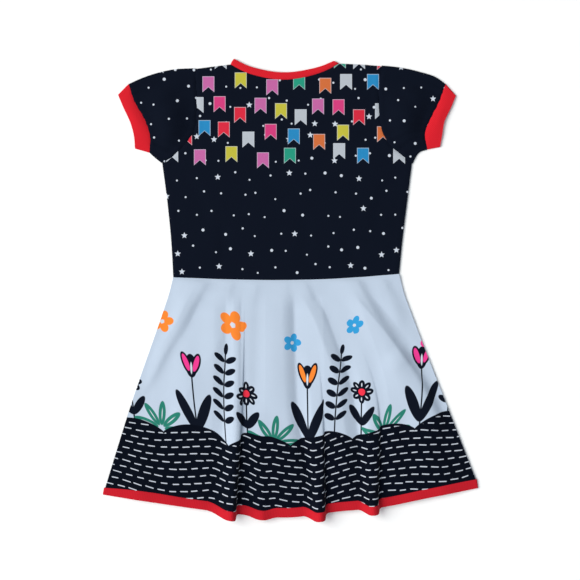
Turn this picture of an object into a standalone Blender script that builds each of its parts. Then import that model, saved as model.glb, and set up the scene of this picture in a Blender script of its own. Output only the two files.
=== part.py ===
"""A child's short-sleeved jersey dress with a flared skirt, laid flat with its back up.

X runs across the dress, +Y towards the neck and +Z up from the surface it lies on. The tables are in
millimetres, measured from the middle of the waist seam. The front panels lie underneath, flat, and the
back panels lie on them; the sleeves, cuffs, neckband and hem band go round both layers.
"""

import bpy
import bmesh
import numpy as np

MM = 0.001
WALL = 1.2              # every wall of cloth
GAP = 0.3               # between pieces at a seam, and between the two layers
LOW = WALL / 2          # height of the middle of the wall underneath
HIGH = LOW + WALL + GAP     # height of the middle of the wall on top
FOLD_STEPS = 5          # facets round a folded edge
SHARP_ANGLE = 50.0      # degrees between faces that shade as an edge
CURVE_POINTS = 121      # of the close polyline that stands for an edge

BODICE_SIDE_STEPS = 5
ARMHOLE_STEPS = 10      # from shoulder to underarm, also along the sleeve and its cuff
SHOULDER_STEPS = 3
NECK_STEPS = 14
SLEEVE_STEPS = 6        # from armhole to cuff
BAND_STEPS = 2          # across a band
SKIRT_ROWS = 20
FRONT_SKIRT_ROWS = 6
FRONT_SKIRT_COLUMNS = 16

NECKBAND_WIDTH = 9.4
SLEEVE_PUFF = 8.0       # how far the upper layer of a sleeve stands up
CUFF_CROWN = 1.5
CUFF_SECTION = (0.0, 1.0, 0.6)      # its share at the seam, halfway and at the free edge
FRONT_HEM_RISE = 1.5    # the front hem lies this much further up, under the back one
HEM_FLARE = 1.0064      # the free edge of the hem band against its seam
SKIRT_LOFT = 4.0        # soft loft of the upper skirt between its folds
LOFT_MARGIN = 50.0      # the loft dies out over this distance from the sides and the waist

# Edges that run down the dress, top row first
ARMHOLE_LEFT = [
    # x, y
    (-119.5, 271.5),
    (-117.5, 236.0),
    (-117.5, 214.0),
    (-122.0, 188.5),
    (-130.0, 177.0),
    (-142.0, 164.0),
    (-155.0, 153.5),
    (-162.0, 150.0),
]
ARMHOLE_RIGHT = [
    # x, y
    (123.5, 275.0),
    (119.5, 243.0),
    (119.5, 226.0),
    (121.0, 205.0),
    (127.5, 183.0),
    (137.0, 170.0),
    (153.0, 157.0),
    (162.5, 149.5),
]
SIDE_LEFT = [
    # x, y
    (-162.0, 150.0),
    (-156.0, 105.0),
    (-150.0, 45.0),
    (-147.5, 0.6),
]
SIDE_RIGHT = [
    # x, y
    (162.5, 149.5),
    (157.0, 105.0),
    (149.5, 43.0),
    (145.8, 5.0),
]
SKIRT_LEFT = [
    # x, y
    (-147.5, 0.6),
    (-152.5, -19.5),
    (-163.0, -51.0),
    (-201.0, -160.0),
    (-236.5, -273.0),
]
SKIRT_RIGHT = [
    # x, y
    (145.8, 5.0),
    (152.0, -19.5),
    (163.5, -51.0),
    (206.0, -160.0),
    (246.0, -262.0),
]

# Edges that run across the dress, left row first
WAIST = [
    # x, y
    (-147.5, 0.6),
    (-70.0, -2.2),
    (-6.0, -3.0),
    (70.0, -0.8),
    (145.8, 5.0),
]
SHOULDER_LEFT = [
    # x, y
    (-119.5, 271.5),
    (-96.0, 274.5),
    (-72.0, 277.5),
]
SHOULDER_RIGHT = [
    # x, y
    (66.5, 278.5),
    (100.0, 277.0),
    (123.5, 275.0),
]
BACK_NECK = [
    # x, y
    (-72.0, 277.5),
    (-58.5, 270.0),
    (-35.0, 262.2),
    (-3.0, 258.2),
    (28.0, 262.6),
    (54.0, 271.6),
    (66.5, 278.5),
]
FRONT_NECK = [
    # x, y
    (-72.0, 277.5),
    (-60.0, 259.0),
    (-40.0, 233.0),
    (-3.0, 217.0),
    (34.0, 233.0),
    (54.5, 259.0),
    (66.5, 278.5),
]
NECK_PEAK_LEFT = (-67.5, 284.2)     # where the neckband's free edge turns from back to front
NECK_PEAK_RIGHT = (60.0, 281.6)

HEM_SEAM = [
    # x, y
    (-236.5, -273.0),
    (-195.0, -276.5),
    (-112.0, -289.0),
    (-65.0, -294.5),
    (0.0, -299.0),
    (69.0, -291.5),
    (122.0, -286.5),
    (180.0, -275.0),
    (246.0, -262.0),
]
HEM_EDGE = [
    # x, y
    (-238.0, -282.0),
    (-195.0, -288.5),
    (-112.0, -300.5),
    (-65.0, -306.5),
    (0.0, -311.0),
    (69.0, -303.0),
    (122.0, -298.0),
    (180.0, -286.5),
    (247.6, -273.5),
]

# Sleeves: their top edge from shoulder to cuff, the underarm edge, and both edges of the cuff
SLEEVES = {
    "left": {
        "armhole": ARMHOLE_LEFT,
        "top": [(-119.5, 271.5), (-148.0, 269.8), (-169.0, 265.2), (-190.0, 258.0), (-205.4, 251.0)],
        "under": [(-162.0, 150.0), (-170.0, 156.5), (-178.6, 164.1)],
        "cuff_seam": [(-205.4, 251.0), (-198.6, 230.2), (-184.5, 205.0), (-178.0, 184.0), (-178.6, 164.1)],
        "cuff_edge": [(-219.0, 237.0), (-212.2, 221.1), (-203.0, 201.0), (-198.5, 183.0), (-197.5, 169.5)],
    },
    "right": {
        "armhole": ARMHOLE_RIGHT,
        "top": [(123.5, 275.0), (143.0, 273.0), (174.0, 266.4), (195.0, 259.0), (206.0, 251.0)],
        "under": [(162.5, 149.5), (168.0, 160.0), (182.5, 168.3)],
        "cuff_seam": [(206.0, 251.0), (198.0, 229.0), (187.5, 208.0), (180.0, 188.0), (182.5, 168.3)],
        "cuff_edge": [(219.5, 236.0), (213.2, 221.1), (205.2, 204.0), (202.0, 186.0), (199.5, 171.5)],
    },
}

# Flutes of the upper skirt. Each rises on its left, falls away on its right, ever more steeply
# towards the hem, grows downwards from where it starts, and carries the hem down by its drop.
FLUTES = [
    # crest, left width and right width: each at the waist, halfway and at the hem
    {"crest": (-60.0, -65.0, -71.5), "left": (19.0, 25.0, 31.0), "right": (6.0, 8.0, 6.0),
     "start": 0.1, "height": 14.0, "drop": 8.5, "steps": 5},
    {"crest": (-34.0, -36.0, -32.0), "left": (10.0, 15.0, 22.0), "right": (10.0, 14.0, 19.0),
     "start": 0.45, "height": 3.0, "drop": 4.5, "steps": 3},
    {"crest": (20.0, 32.0, 43.0), "left": (10.0, 17.0, 21.0), "right": (8.0, 14.0, 7.0),
     "start": 0.3, "height": 13.0, "drop": 9.0, "steps": 5},
    {"crest": (46.0, 101.0, 111.5), "left": (10.0, 17.0, 19.0), "right": (10.0, 15.0, 7.5),
     "start": 0.3, "height": 13.0, "drop": 8.0, "steps": 5},
]
FLUTE_SECTION = [
    # place, across, up, drop: across is in left widths before the crest and in right widths after it
    (-1.0, -1.0, 0.0, 0.0),
    (-0.75, -0.76, 0.08, 0.22),
    (-0.5, -0.5, 0.31, 0.60),
    (-0.25, -0.25, 0.72, 0.92),
    (0.0, 0.0, 1.0, 1.0),
    (0.2, 0.48, 0.93, 1.0),
    (0.4, 0.83, 0.72, 0.9),
    (0.6, 0.95, 0.41, 0.6),
    (0.8, 1.05, 0.13, 0.22),
    (1.0, 1.45, 0.0, 0.0),
]
GROWTH = 1.5            # power by which a flute grows towards the hem
WAIST_FADE = 0.08       # share of the skirt's length over which the flutes leave the waist seam
SIDE_COLUMNS = 10       # columns of the skirt outside the flutes, at each side
BETWEEN_COLUMNS = 6     # and between two flutes

# Valleys between the broad folds of the upper skirt. The cloth falls into each from its left, within
# a short distance, and rises slowly again on its right. Each side has its width and its curve: over 1
# it is steepest at the bottom, under 1 at its outer edge.
VALLEYS = [
    # x, y down its bottom; share of the loft that it takes; width and curve of each side
    {"line": [(-96.0, -4.0), (-113.0, -46.0), (-138.0, -99.0), (-176.0, -165.0), (-204.0, -212.0)],
     "share": 0.9, "left": (14.0, 0.8), "right": (44.0, 1.0)},
    {"line": [(-79.0, -12.0), (-79.5, -90.0), (-82.0, -180.0), (-88.0, -292.0)],
     "share": 0.45, "left": (15.0, 1.5), "right": (16.0, 1.0)},
    {"line": [(-59.0, -14.0), (-59.0, -60.0), (-59.0, -110.0), (-60.0, -200.0)],
     "share": 0.45, "left": (9.0, 1.2), "right": (30.0, 1.0)},
    {"line": [(7.8, -4.0), (9.5, -80.0), (11.0, -130.0), (16.0, -190.0), (27.0, -240.0), (32.0, -292.0)],
     "share": 0.95, "left": (20.0, 1.8), "right": (36.0, 1.0)},
    {"line": [(27.0, -6.0), (48.0, -40.0), (63.0, -79.0), (74.0, -108.0), (84.0, -143.0),
              (92.0, -192.0), (99.0, -292.0)],
     "share": 0.95, "left": (21.0, 1.2), "right": (44.0, 1.0)},
    {"line": [(96.0, -6.0), (140.0, -58.0), (176.0, -106.0), (216.0, -166.0), (232.0, -196.0)],
     "share": 0.98, "left": (16.0, 0.8), "right": (40.0, 1.0)},
]
VALLEY_END = 26.0       # each valley deepens and dies out over this length

CLOTH = {
    "navy": {"colour": (0.008, 0.013, 0.024, 1.0), "roughness": 0.85},
    "pale": {"colour": (0.56, 0.66, 0.80, 1.0), "roughness": 0.85},
    "red": {"colour": (0.68, 0.022, 0.035, 1.0), "roughness": 0.8},
}


def clear_scene():
    for old in list(bpy.data.objects):
        bpy.data.objects.remove(old, do_unlink=True)


def read(table, key, column):
    """Smooth value of a table's column at each key; the keys are its first column."""
    rows = np.array(table, dtype=float)
    if rows[0, 0] > rows[-1, 0]:
        rows = rows[::-1]
    keys = rows[:, 0]
    values = rows[:, column]
    slopes = np.gradient(values, keys)
    key = np.asarray(key, dtype=float)
    cell = np.clip(np.searchsorted(keys, key) - 1, 0, len(keys) - 2)
    width = keys[cell + 1] - keys[cell]
    t = (key - keys[cell]) / width
    start = (1 + 2 * t) * (1 - t) ** 2 * values[cell] + t * (1 - t) ** 2 * width * slopes[cell]
    end = t * t * (3 - 2 * t) * values[cell + 1] + t * t * (t - 1) * width * slopes[cell + 1]
    return start + end


def edge_curve(table, across):
    """Close polyline through a table of x, y rows, running across the dress or down it."""
    rows = np.array(table, dtype=float)
    key = 0 if across else 1
    keys = np.linspace(rows[0, key], rows[-1, key], CURVE_POINTS)
    if across:
        return np.column_stack([keys, read(rows, keys, 1)])
    return np.column_stack([read(rows[:, ::-1], keys, 1), keys])


def fractions_of(line):
    length = np.concatenate([[0.0], np.cumsum(np.linalg.norm(np.diff(line, axis=0), axis=1))])
    return length / length[-1]


def points_at(line, fractions):
    """Points at the given fractions of a polyline's length."""
    along = fractions_of(line)
    return np.column_stack([np.interp(fractions, along, line[:, 0]),
                            np.interp(fractions, along, line[:, 1])])


def evenly(line, steps):
    return points_at(line, np.linspace(0.0, 1.0, steps + 1))


def shifted(line, distance):
    """A polyline moved sideways, to the left of its direction where the distance is positive."""
    along = np.gradient(line, axis=0)
    along /= np.linalg.norm(along, axis=1)[:, None]
    return line + distance * np.column_stack([-along[:, 1], along[:, 0]])


def pinned(line, start, end):
    """A polyline with its two ends moved to the given points, and the rest less and less."""
    t = fractions_of(line)[:, None]
    return line + (1 - t) ** 4 * (np.array(start) - line[0]) + t ** 4 * (np.array(end) - line[-1])


def joined(*lines):
    """Polylines that follow each other, as one."""
    return np.vstack([lines[0]] + [line[1:] for line in lines[1:]])


def patch(left, right, bottom, top):
    """Grid of points between four edges: rows from bottom to top, columns from left to right."""
    u = (fractions_of(bottom) + fractions_of(top)) / 2
    v = (fractions_of(left) + fractions_of(right)) / 2
    u = u[None, :, None]
    v = v[:, None, None]
    rows = (1 - v) * bottom[None] + v * top[None]
    columns = (1 - u) * left[:, None] + u * right[:, None]
    corners = ((1 - v) * ((1 - u) * bottom[0] + u * bottom[-1])
               + v * ((1 - u) * top[0] + u * top[-1]))
    return rows + columns - corners


def at_height(grid, height):
    """A flat grid with its third coordinate, a number or a grid of numbers."""
    heights = np.broadcast_to(np.asarray(height, dtype=float), grid.shape[:2])
    return np.dstack([grid, heights])


def normals_of(points, sign):
    """Unit normals of a grid of points, upwards for sign 1 and downwards for sign -1."""
    first = np.gradient(points, axis=0)
    second = np.gradient(points, axis=1)
    first /= np.linalg.norm(first, axis=2)[..., None]
    second /= np.linalg.norm(second, axis=2)[..., None]
    normals = np.cross(first, second)
    normals /= np.linalg.norm(normals, axis=2)[..., None]
    middle = normals[normals.shape[0] // 2, 0]
    return normals * sign * np.sign(middle[2])


def make_wall(name, points, normals, cloth, closed=False):
    """One closed solid: a wall of cloth about a grid of points, open or closed into a ring."""
    rows, columns = points.shape[:2]
    outer = points + normals * WALL / 2
    inner = points - normals * WALL / 2
    vertices = np.vstack([outer.reshape(-1, 3), inner.reshape(-1, 3)]) * MM
    below = rows * columns

    faces = []

    def quad(a, b, c, d):
        faces.append((a, b, c))
        faces.append((a, c, d))

    last_row = rows if closed else rows - 1
    for i in range(last_row):
        near = i * columns
        far = ((i + 1) % rows) * columns
        for j in range(columns - 1):
            quad(near + j, near + j + 1, far + j + 1, far + j)
            quad(below + near + j, below + far + j, below + far + j + 1, below + near + j + 1)
        for j in (0, columns - 1):
            quad(near + j, far + j, below + far + j, below + near + j)
    if not closed:
        for start in (0, (rows - 1) * columns):
            for j in range(start, start + columns - 1):
                quad(j, j + 1, below + j + 1, below + j)

    mesh = bpy.data.meshes.new(name)
    mesh.from_pydata(vertices.tolist(), [], faces)
    shape = bmesh.new()
    shape.from_mesh(mesh)
    bmesh.ops.recalc_face_normals(shape, faces=shape.faces)
    shape.to_mesh(mesh)
    shape.free()
    mesh.shade_smooth()
    mesh.set_sharp_from_angle(angle=np.radians(SHARP_ANGLE))
    mesh.materials.append(make_cloth(name, cloth))
    piece = bpy.data.objects.new(name, mesh)
    bpy.context.scene.collection.objects.link(piece)
    return piece


def make_cloth(name, cloth):
    material = bpy.data.materials.new(name + "_" + cloth)
    material.use_nodes = True
    shader = material.node_tree.nodes["Principled BSDF"]
    shader.inputs["Base Color"].default_value = CLOTH[cloth]["colour"]
    shader.inputs["Roughness"].default_value = CLOTH[cloth]["roughness"]
    shader.inputs["Metallic"].default_value = 0.0
    return material


def fold(upper, lower, inside):
    """Points and normals round a folded edge, from the upper layer down to the lower one."""
    out = upper - inside
    out[:, 2] = 0.0
    out /= np.linalg.norm(out, axis=1)[:, None]
    centre = (upper + lower) / 2
    radius = (upper[:, 2] - lower[:, 2])[:, None] / 2
    angles = np.linspace(np.pi / 2, -np.pi / 2, FOLD_STEPS + 1)[1:-1]
    up = np.array([0.0, 0.0, 1.0])
    normals = np.array([np.cos(angle) * out + np.sin(angle) * up for angle in angles])
    return centre + radius * normals, normals


def make_ring(name, upper, lower, cloth):
    """A piece that goes round both layers. Both grids run from the left edge to the right one."""
    right, right_normals = fold(upper[-1], lower[-1], upper[-2])
    left, left_normals = fold(upper[0], lower[0], upper[1])
    points = np.concatenate([upper, right, lower[::-1], left[::-1]])
    normals = np.concatenate([normals_of(upper, 1), right_normals,
                              normals_of(lower, -1)[::-1], left_normals[::-1]])
    return make_wall(name, points, normals, cloth, closed=True)


def make_bodice():
    """Front and back panels, cut alike but for the neck, which is deeper in front."""
    for name, neck, height in (("front_bodice", FRONT_NECK, LOW), ("back_bodice", BACK_NECK, HIGH)):
        left = joined(evenly(edge_curve(SIDE_LEFT, False)[::-1], BODICE_SIDE_STEPS),
                      evenly(edge_curve(ARMHOLE_LEFT, False)[::-1], ARMHOLE_STEPS))
        right = joined(evenly(edge_curve(SIDE_RIGHT, False)[::-1], BODICE_SIDE_STEPS),
                       evenly(edge_curve(ARMHOLE_RIGHT, False)[::-1], ARMHOLE_STEPS))
        neckline = shifted(evenly(edge_curve(neck, True), NECK_STEPS), -GAP)
        shoulder_left = pinned(edge_curve(SHOULDER_LEFT, True), left[-1], neckline[0])
        shoulder_right = pinned(edge_curve(SHOULDER_RIGHT, True), neckline[-1], right[-1])
        top = joined(evenly(shoulder_left, SHOULDER_STEPS), neckline,
                     evenly(shoulder_right, SHOULDER_STEPS))
        bottom = points_at(edge_curve(WAIST, True), fractions_of(top))
        panel = at_height(patch(left, right, bottom, top), height)
        make_wall(name, panel, normals_of(panel, 1), "navy")


def band_grid(seam, edge, height):
    """Grid of a band: along it from left to right, and across it from its seam to its free edge."""
    across = np.linspace(0.0, 1.0, BAND_STEPS + 1)[None, :, None]
    return at_height((1 - across) * seam[:, None] + across * edge[:, None], height)


def make_neckband():
    """One rib ring: a shallow curve behind the neck and a deep one in front, folded at the shoulders."""
    layers = []
    for neck, height in ((BACK_NECK, HIGH), (FRONT_NECK, LOW)):
        seam = evenly(edge_curve(neck, True), NECK_STEPS)
        edge = pinned(shifted(seam, NECKBAND_WIDTH), NECK_PEAK_LEFT, NECK_PEAK_RIGHT)
        layers.append(band_grid(seam, edge, height))
    make_ring("neckband", layers[0], layers[1], "red")


def crown(steps):
    """0 at both ends and 1 between them, level at the ends."""
    return np.sin(np.linspace(0.0, np.pi, steps + 1)) ** 2


def make_sleeve(side):
    """A flattened tube from the armhole to the cuff, a little puffed, and its rib cuff."""
    size = SLEEVES[side]
    outwards = -1 if side == "left" else 1
    armhole = shifted(evenly(edge_curve(size["armhole"], False), ARMHOLE_STEPS), outwards * GAP)
    seam = evenly(edge_curve(size["cuff_seam"], False), ARMHOLE_STEPS)
    top = pinned(edge_curve(size["top"], True), armhole[0], seam[0])
    under = pinned(edge_curve(size["under"], True), armhole[-1], seam[-1])

    flat = patch(armhole, seam, evenly(top, SLEEVE_STEPS), evenly(under, SLEEVE_STEPS))
    puff = np.outer(crown(ARMHOLE_STEPS), crown(SLEEVE_STEPS)) * SLEEVE_PUFF
    make_ring(side + "_sleeve", at_height(flat, HIGH + puff), at_height(flat, LOW), "navy")

    cuff_seam = shifted(seam, outwards * GAP)
    cuff_edge = evenly(edge_curve(size["cuff_edge"], False), ARMHOLE_STEPS)
    lift = np.outer(crown(ARMHOLE_STEPS), CUFF_SECTION) * CUFF_CROWN
    make_ring(side + "_cuff", band_grid(cuff_seam, cuff_edge, HIGH + lift),
              band_grid(cuff_seam, cuff_edge, LOW), "red")


def smooth_step(t):
    t = np.clip(t, 0.0, 1.0)
    return t * t * (3 - 2 * t)


def skirt_side(table, v):
    """x of a side of the skirt at a fraction of its height, from the waist to the hem seam."""
    y = table[0][1] + (table[-1][1] - table[0][1]) * v
    return read([row[::-1] for row in table], y, 1)


def flute_columns(v):
    """One row of the upper skirt between its sides: x, height and hem drop at each column."""
    x = [float(skirt_side(SKIRT_LEFT, v))]
    up = [0.0]
    drop = [0.0]

    def run_to(end, steps):
        x.extend(np.linspace(x[-1], end, steps + 1)[1:])
        up.extend([0.0] * steps)
        drop.extend([0.0] * steps)

    section = np.array(FLUTE_SECTION)
    for number, flute in enumerate(FLUTES):
        crest, left, right = (float(read(list(zip((0.0, 0.5, 1.0), flute[size])), v, 1))
                              for size in ("crest", "left", "right"))
        grown = max(v - flute["start"], 0.0) / (1 - flute["start"])
        height = flute["height"] * grown ** GROWTH * float(smooth_step(v / WAIST_FADE))
        run_to(crest - left, SIDE_COLUMNS if number == 0 else BETWEEN_COLUMNS)
        place = np.concatenate([np.linspace(-1, 0, flute["steps"] + 1)[1:],
                                np.linspace(0, 1, flute["steps"] + 1)[1:]])
        across = read(section, place, 1)
        x.extend(crest + across * np.where(place < 0, left, right))
        up.extend(read(section, place, 2) * height)
        drop.extend(read(section, place, 3) * flute["drop"])
    run_to(float(skirt_side(SKIRT_RIGHT, v)), SIDE_COLUMNS)
    return np.array(x), np.array(up), np.array(drop)


def beside(line, x, y):
    """For each point its place along a line, its distance from it and which side it lies on."""
    lengths = fractions_of(line) * np.linalg.norm(np.diff(line, axis=0), axis=1).sum()
    nearest = np.full(np.shape(x), np.inf)
    along = np.zeros(np.shape(x))
    side = np.zeros(np.shape(x))
    for start, end, reach in zip(line[:-1], line[1:], lengths):
        step = end - start
        length = np.linalg.norm(step)
        t = np.clip(((x - start[0]) * step[0] + (y - start[1]) * step[1]) / length ** 2, 0.0, 1.0)
        away = np.hypot(x - start[0] - t * step[0], y - start[1] - t * step[1])
        closer = away < nearest
        nearest = np.where(closer, away, nearest)
        along = np.where(closer, reach + t * length, along)
        side = np.where(closer, (y - start[1]) * step[0] - (x - start[0]) * step[1], side)
    return along, nearest, side, lengths[-1]


def loft(x, y, v):
    """Soft rise of the upper skirt between its folds, less the valleys that cross it."""
    rise = (smooth_step((x - skirt_side(SKIRT_LEFT, v)) / LOFT_MARGIN)
            * smooth_step((skirt_side(SKIRT_RIGHT, v) - x) / LOFT_MARGIN)
            * smooth_step((WAIST[0][1] - y) / LOFT_MARGIN)) * SKIRT_LOFT
    share = 1.0
    for valley in VALLEYS:
        along, away, side, length = beside(edge_curve(valley["line"], False), x, y)
        width = np.where(side < 0, valley["left"][0], valley["right"][0])
        curve = np.where(side < 0, valley["left"][1], valley["right"][1])
        ends = smooth_step(along / VALLEY_END) * smooth_step((length - along) / VALLEY_END)
        share = share - valley["share"] * np.clip(1.0 - away / width, 0.0, 1.0) ** curve * ends
    return rise * np.clip(share, 0.0, 1.0)


def skirt_grid():
    """Upper skirt: rows from the waist to the hem seam, columns from left to right."""
    seam_x, _, drop = flute_columns(1.0)
    waist_x = flute_columns(0.0)[0]
    waist_y = read(WAIST, waist_x, 1) - GAP
    hem_y = read(HEM_SEAM, seam_x, 1) + GAP - drop
    rows = []
    for v in np.linspace(0.0, 1.0, SKIRT_ROWS + 1):
        x, up, _ = flute_columns(v)
        y = (1 - v) * waist_y + v * hem_y
        rows.append(np.column_stack([x, y, HIGH + up + loft(x, y, v)]))
    return np.array(rows)


def make_skirt():
    """The flat front skirt underneath, and the back skirt with its flutes."""
    left = evenly(edge_curve(SKIRT_LEFT, False), FRONT_SKIRT_ROWS)
    right = evenly(edge_curve(SKIRT_RIGHT, False), FRONT_SKIRT_ROWS)
    waist = shifted(evenly(edge_curve(WAIST, True), FRONT_SKIRT_COLUMNS), -GAP)
    hem = shifted(front_hem_line(HEM_SEAM, FRONT_SKIRT_COLUMNS), GAP)
    left = pinned(left, waist[0], hem[0])
    right = pinned(right, waist[-1], hem[-1])
    front = at_height(patch(left, right, waist, hem), LOW)
    make_wall("front_skirt", front, normals_of(front, 1), "pale")

    back = skirt_grid()
    make_wall("back_skirt", back, normals_of(back, 1), "pale")


def front_hem_line(table, steps):
    """A hem line of the front, which lies a little further up than the back one."""
    line = evenly(edge_curve(table, True), steps)
    line[:, 1] += np.sin(fractions_of(line) * np.pi) * FRONT_HEM_RISE
    return line


def make_hem_band():
    """One rib ring round the hem. Its upper layer follows the flutes of the back skirt."""
    x, up, drop = flute_columns(1.0)
    lift = HIGH + up + loft(x, read(HEM_SEAM, x, 1), 1.0)
    seam = np.column_stack([x, read(HEM_SEAM, x, 1) - drop])
    edge_x = x * HEM_FLARE
    ends = np.array([HEM_EDGE[0][0], HEM_EDGE[-1][0]])
    edge_x = np.clip(edge_x, ends[0], ends[1])
    edge = np.column_stack([edge_x, read(HEM_EDGE, edge_x, 1) - drop])
    upper = band_grid(seam, edge, np.repeat(lift[:, None], BAND_STEPS + 1, axis=1))
    under_seam = front_hem_line(HEM_SEAM, FRONT_SKIRT_COLUMNS)
    under_edge = front_hem_line(HEM_EDGE, FRONT_SKIRT_COLUMNS)
    under_seam = pinned(under_seam, seam[0], seam[-1])
    under_edge = pinned(under_edge, edge[0], edge[-1])
    make_ring("hem_band", upper, band_grid(under_seam, under_edge, LOW), "red")


def centre_on_origin():
    """Puts the origin at the middle of the bounding box's lowest face."""
    pieces = [piece for piece in bpy.data.objects if piece.type == "MESH"]
    corners = np.array([vertex.co[:] for piece in pieces for vertex in piece.data.vertices])
    low = corners.min(axis=0)
    high = corners.max(axis=0)
    shift = np.array([(low[0] + high[0]) / 2, (low[1] + high[1]) / 2, low[2]])
    for piece in pieces:
        for vertex in piece.data.vertices:
            vertex.co = np.array(vertex.co[:]) - shift
        piece.data.update()


clear_scene()
make_bodice()
make_neckband()
make_sleeve("left")
make_sleeve("right")
make_skirt()
make_hem_band()
centre_on_origin()
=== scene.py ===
import math

import bpy
import numpy as np
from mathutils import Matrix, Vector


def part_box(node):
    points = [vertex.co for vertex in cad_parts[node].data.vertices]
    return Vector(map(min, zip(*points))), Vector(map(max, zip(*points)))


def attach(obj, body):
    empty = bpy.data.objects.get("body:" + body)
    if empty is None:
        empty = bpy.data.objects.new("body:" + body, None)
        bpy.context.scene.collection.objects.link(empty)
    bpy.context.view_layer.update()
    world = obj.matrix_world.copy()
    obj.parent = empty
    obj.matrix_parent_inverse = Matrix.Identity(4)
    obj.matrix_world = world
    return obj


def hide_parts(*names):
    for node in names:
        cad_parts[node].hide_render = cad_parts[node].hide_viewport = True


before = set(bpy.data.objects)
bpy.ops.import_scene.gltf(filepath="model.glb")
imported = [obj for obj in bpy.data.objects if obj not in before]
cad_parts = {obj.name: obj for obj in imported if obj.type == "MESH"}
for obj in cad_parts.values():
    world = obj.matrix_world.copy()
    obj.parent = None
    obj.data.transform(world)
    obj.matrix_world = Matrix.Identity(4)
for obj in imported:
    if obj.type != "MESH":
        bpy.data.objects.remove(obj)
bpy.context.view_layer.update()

mm = 0.001

# Sizes below are in millimetres, measured from the middle of the waist seam: x to the viewer's right,
# y towards the neck and z up from the surface that the dress lies on.

armhole = {
    "left": [(-119.5, 271.5), (-117.5, 236.0), (-117.5, 214.0), (-122.0, 188.5),
             (-130.0, 177.0), (-142.0, 164.0), (-155.0, 153.5), (-162.0, 150.0)],
    "right": [(123.5, 275.0), (119.5, 243.0), (119.5, 226.0), (121.0, 205.0),
              (127.5, 183.0), (137.0, 170.0), (153.0, 157.0), (162.5, 149.5)],
}
waist = [(-147.5, 0.6), (-70.0, -2.2), (-6.0, -3.0), (70.0, -0.8), (145.8, 5.0)]
neck = {
    "back": [(-72.0, 277.5), (-58.5, 270.0), (-35.0, 262.2), (-3.0, 258.2),
             (28.0, 262.6), (54.0, 271.6), (66.5, 278.5)],
    "front": [(-72.0, 277.5), (-60.0, 259.0), (-40.0, 233.0), (-3.0, 217.0),
              (34.0, 233.0), (54.5, 259.0), (66.5, 278.5)],
}
layers = {
    "lower": 0.6,           # middle of the wall underneath, as in the frame
    "upper": 2.1,           # middle of the wall on top
    "jersey": 0.9,          # thickness of the jersey
    "rib": 1.2,             # thickness of the doubled rib
    "tuck": 0.9,            # how far a panel runs in under its neighbour at a seam
}


# Curves and grids

def readTable(table, key, column):
    # smooth value of a column at each key; the keys are the first column
    rows = np.array(table, dtype=float)
    if rows[0, 0] > rows[-1, 0]:
        rows = rows[::-1]
    keys = rows[:, 0]
    values = rows[:, column]
    slopes = np.gradient(values, keys)
    key = np.asarray(key, dtype=float)
    cell = np.clip(np.searchsorted(keys, key) - 1, 0, len(keys) - 2)
    width = keys[cell + 1] - keys[cell]
    t = (key - keys[cell]) / width
    start = (1 + 2 * t) * (1 - t) ** 2 * values[cell] + t * (1 - t) ** 2 * width * slopes[cell]
    end = t * t * (3 - 2 * t) * values[cell + 1] + t * t * (t - 1) * width * slopes[cell + 1]
    return start + end


def edgeCurve(table, across, points=161):
    # close polyline through a table, running across the dress or down it
    rows = np.array(table, dtype=float)
    key = 0 if across else 1
    keys = np.linspace(rows[0, key], rows[-1, key], points)
    if across:
        return np.column_stack([keys, readTable(rows, keys, 1)])
    return np.column_stack([readTable(rows[:, ::-1], keys, 1), keys])


def lengthsAlong(line):
    return np.concatenate([[0.0], np.cumsum(np.linalg.norm(np.diff(line, axis=0), axis=1))])


def fractionsOf(line):
    lengths = lengthsAlong(line)
    return lengths / lengths[-1]


def pointsAt(line, fractions):
    along = fractionsOf(line)
    return np.column_stack([np.interp(fractions, along, line[:, 0]),
                            np.interp(fractions, along, line[:, 1])])


def evenly(line, steps):
    return pointsAt(line, np.linspace(0.0, 1.0, steps + 1))


def shifted(line, distance):
    # a polyline moved sideways, to the left of its direction where the distance is positive
    along = np.gradient(line, axis=0)
    along /= np.linalg.norm(along, axis=1)[:, None]
    return line + distance * np.column_stack([-along[:, 1], along[:, 0]])


def pinned(line, start, end):
    # a polyline with its ends moved to the given points, and the rest less and less
    t = fractionsOf(line)[:, None]
    return line + (1 - t) ** 4 * (np.array(start) - line[0]) + t ** 4 * (np.array(end) - line[-1])


def joined(*lines):
    return np.vstack([lines[0]] + [line[1:] for line in lines[1:]])


def patch(left, right, bottom, top):
    # grid between four edges: rows from bottom to top, columns from left to right
    u = ((fractionsOf(bottom) + fractionsOf(top)) / 2)[None, :, None]
    v = ((fractionsOf(left) + fractionsOf(right)) / 2)[:, None, None]
    rows = (1 - v) * bottom[None] + v * top[None]
    columns = (1 - u) * left[:, None] + u * right[:, None]
    corners = ((1 - v) * ((1 - u) * bottom[0] + u * bottom[-1])
               + v * ((1 - u) * top[0] + u * top[-1]))
    return rows + columns - corners


def atHeight(grid, height):
    return np.dstack([grid, np.broadcast_to(np.asarray(height, dtype=float), grid.shape[:2])])


def smoothStep(t):
    t = np.clip(t, 0.0, 1.0)
    return t * t * (3 - 2 * t)


def arcAcross(grid):
    # arc length along each row of a grid, from its first column
    steps = np.linalg.norm(np.diff(grid, axis=1), axis=2)
    return np.concatenate([np.zeros((grid.shape[0], 1)), np.cumsum(steps, axis=1)], axis=1)


def arcDown(grid):
    return arcAcross(grid.transpose(1, 0, 2)).T


def normalsOf(points, sign):
    first = np.gradient(points, axis=0)
    second = np.gradient(points, axis=1)
    normals = np.cross(first, second)
    normals /= np.linalg.norm(normals, axis=2)[..., None]
    middle = normals[normals.shape[0] // 2, normals.shape[1] // 2]
    return normals * sign * np.sign(middle[2])


# Creases

creaseFade = 28.0       # a crease deepens and dies out over this length

# Rows of creases: from, by and to, the depth (a ridge where it is negative), and how far the trough
# reaches on its left and on its right.


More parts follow.
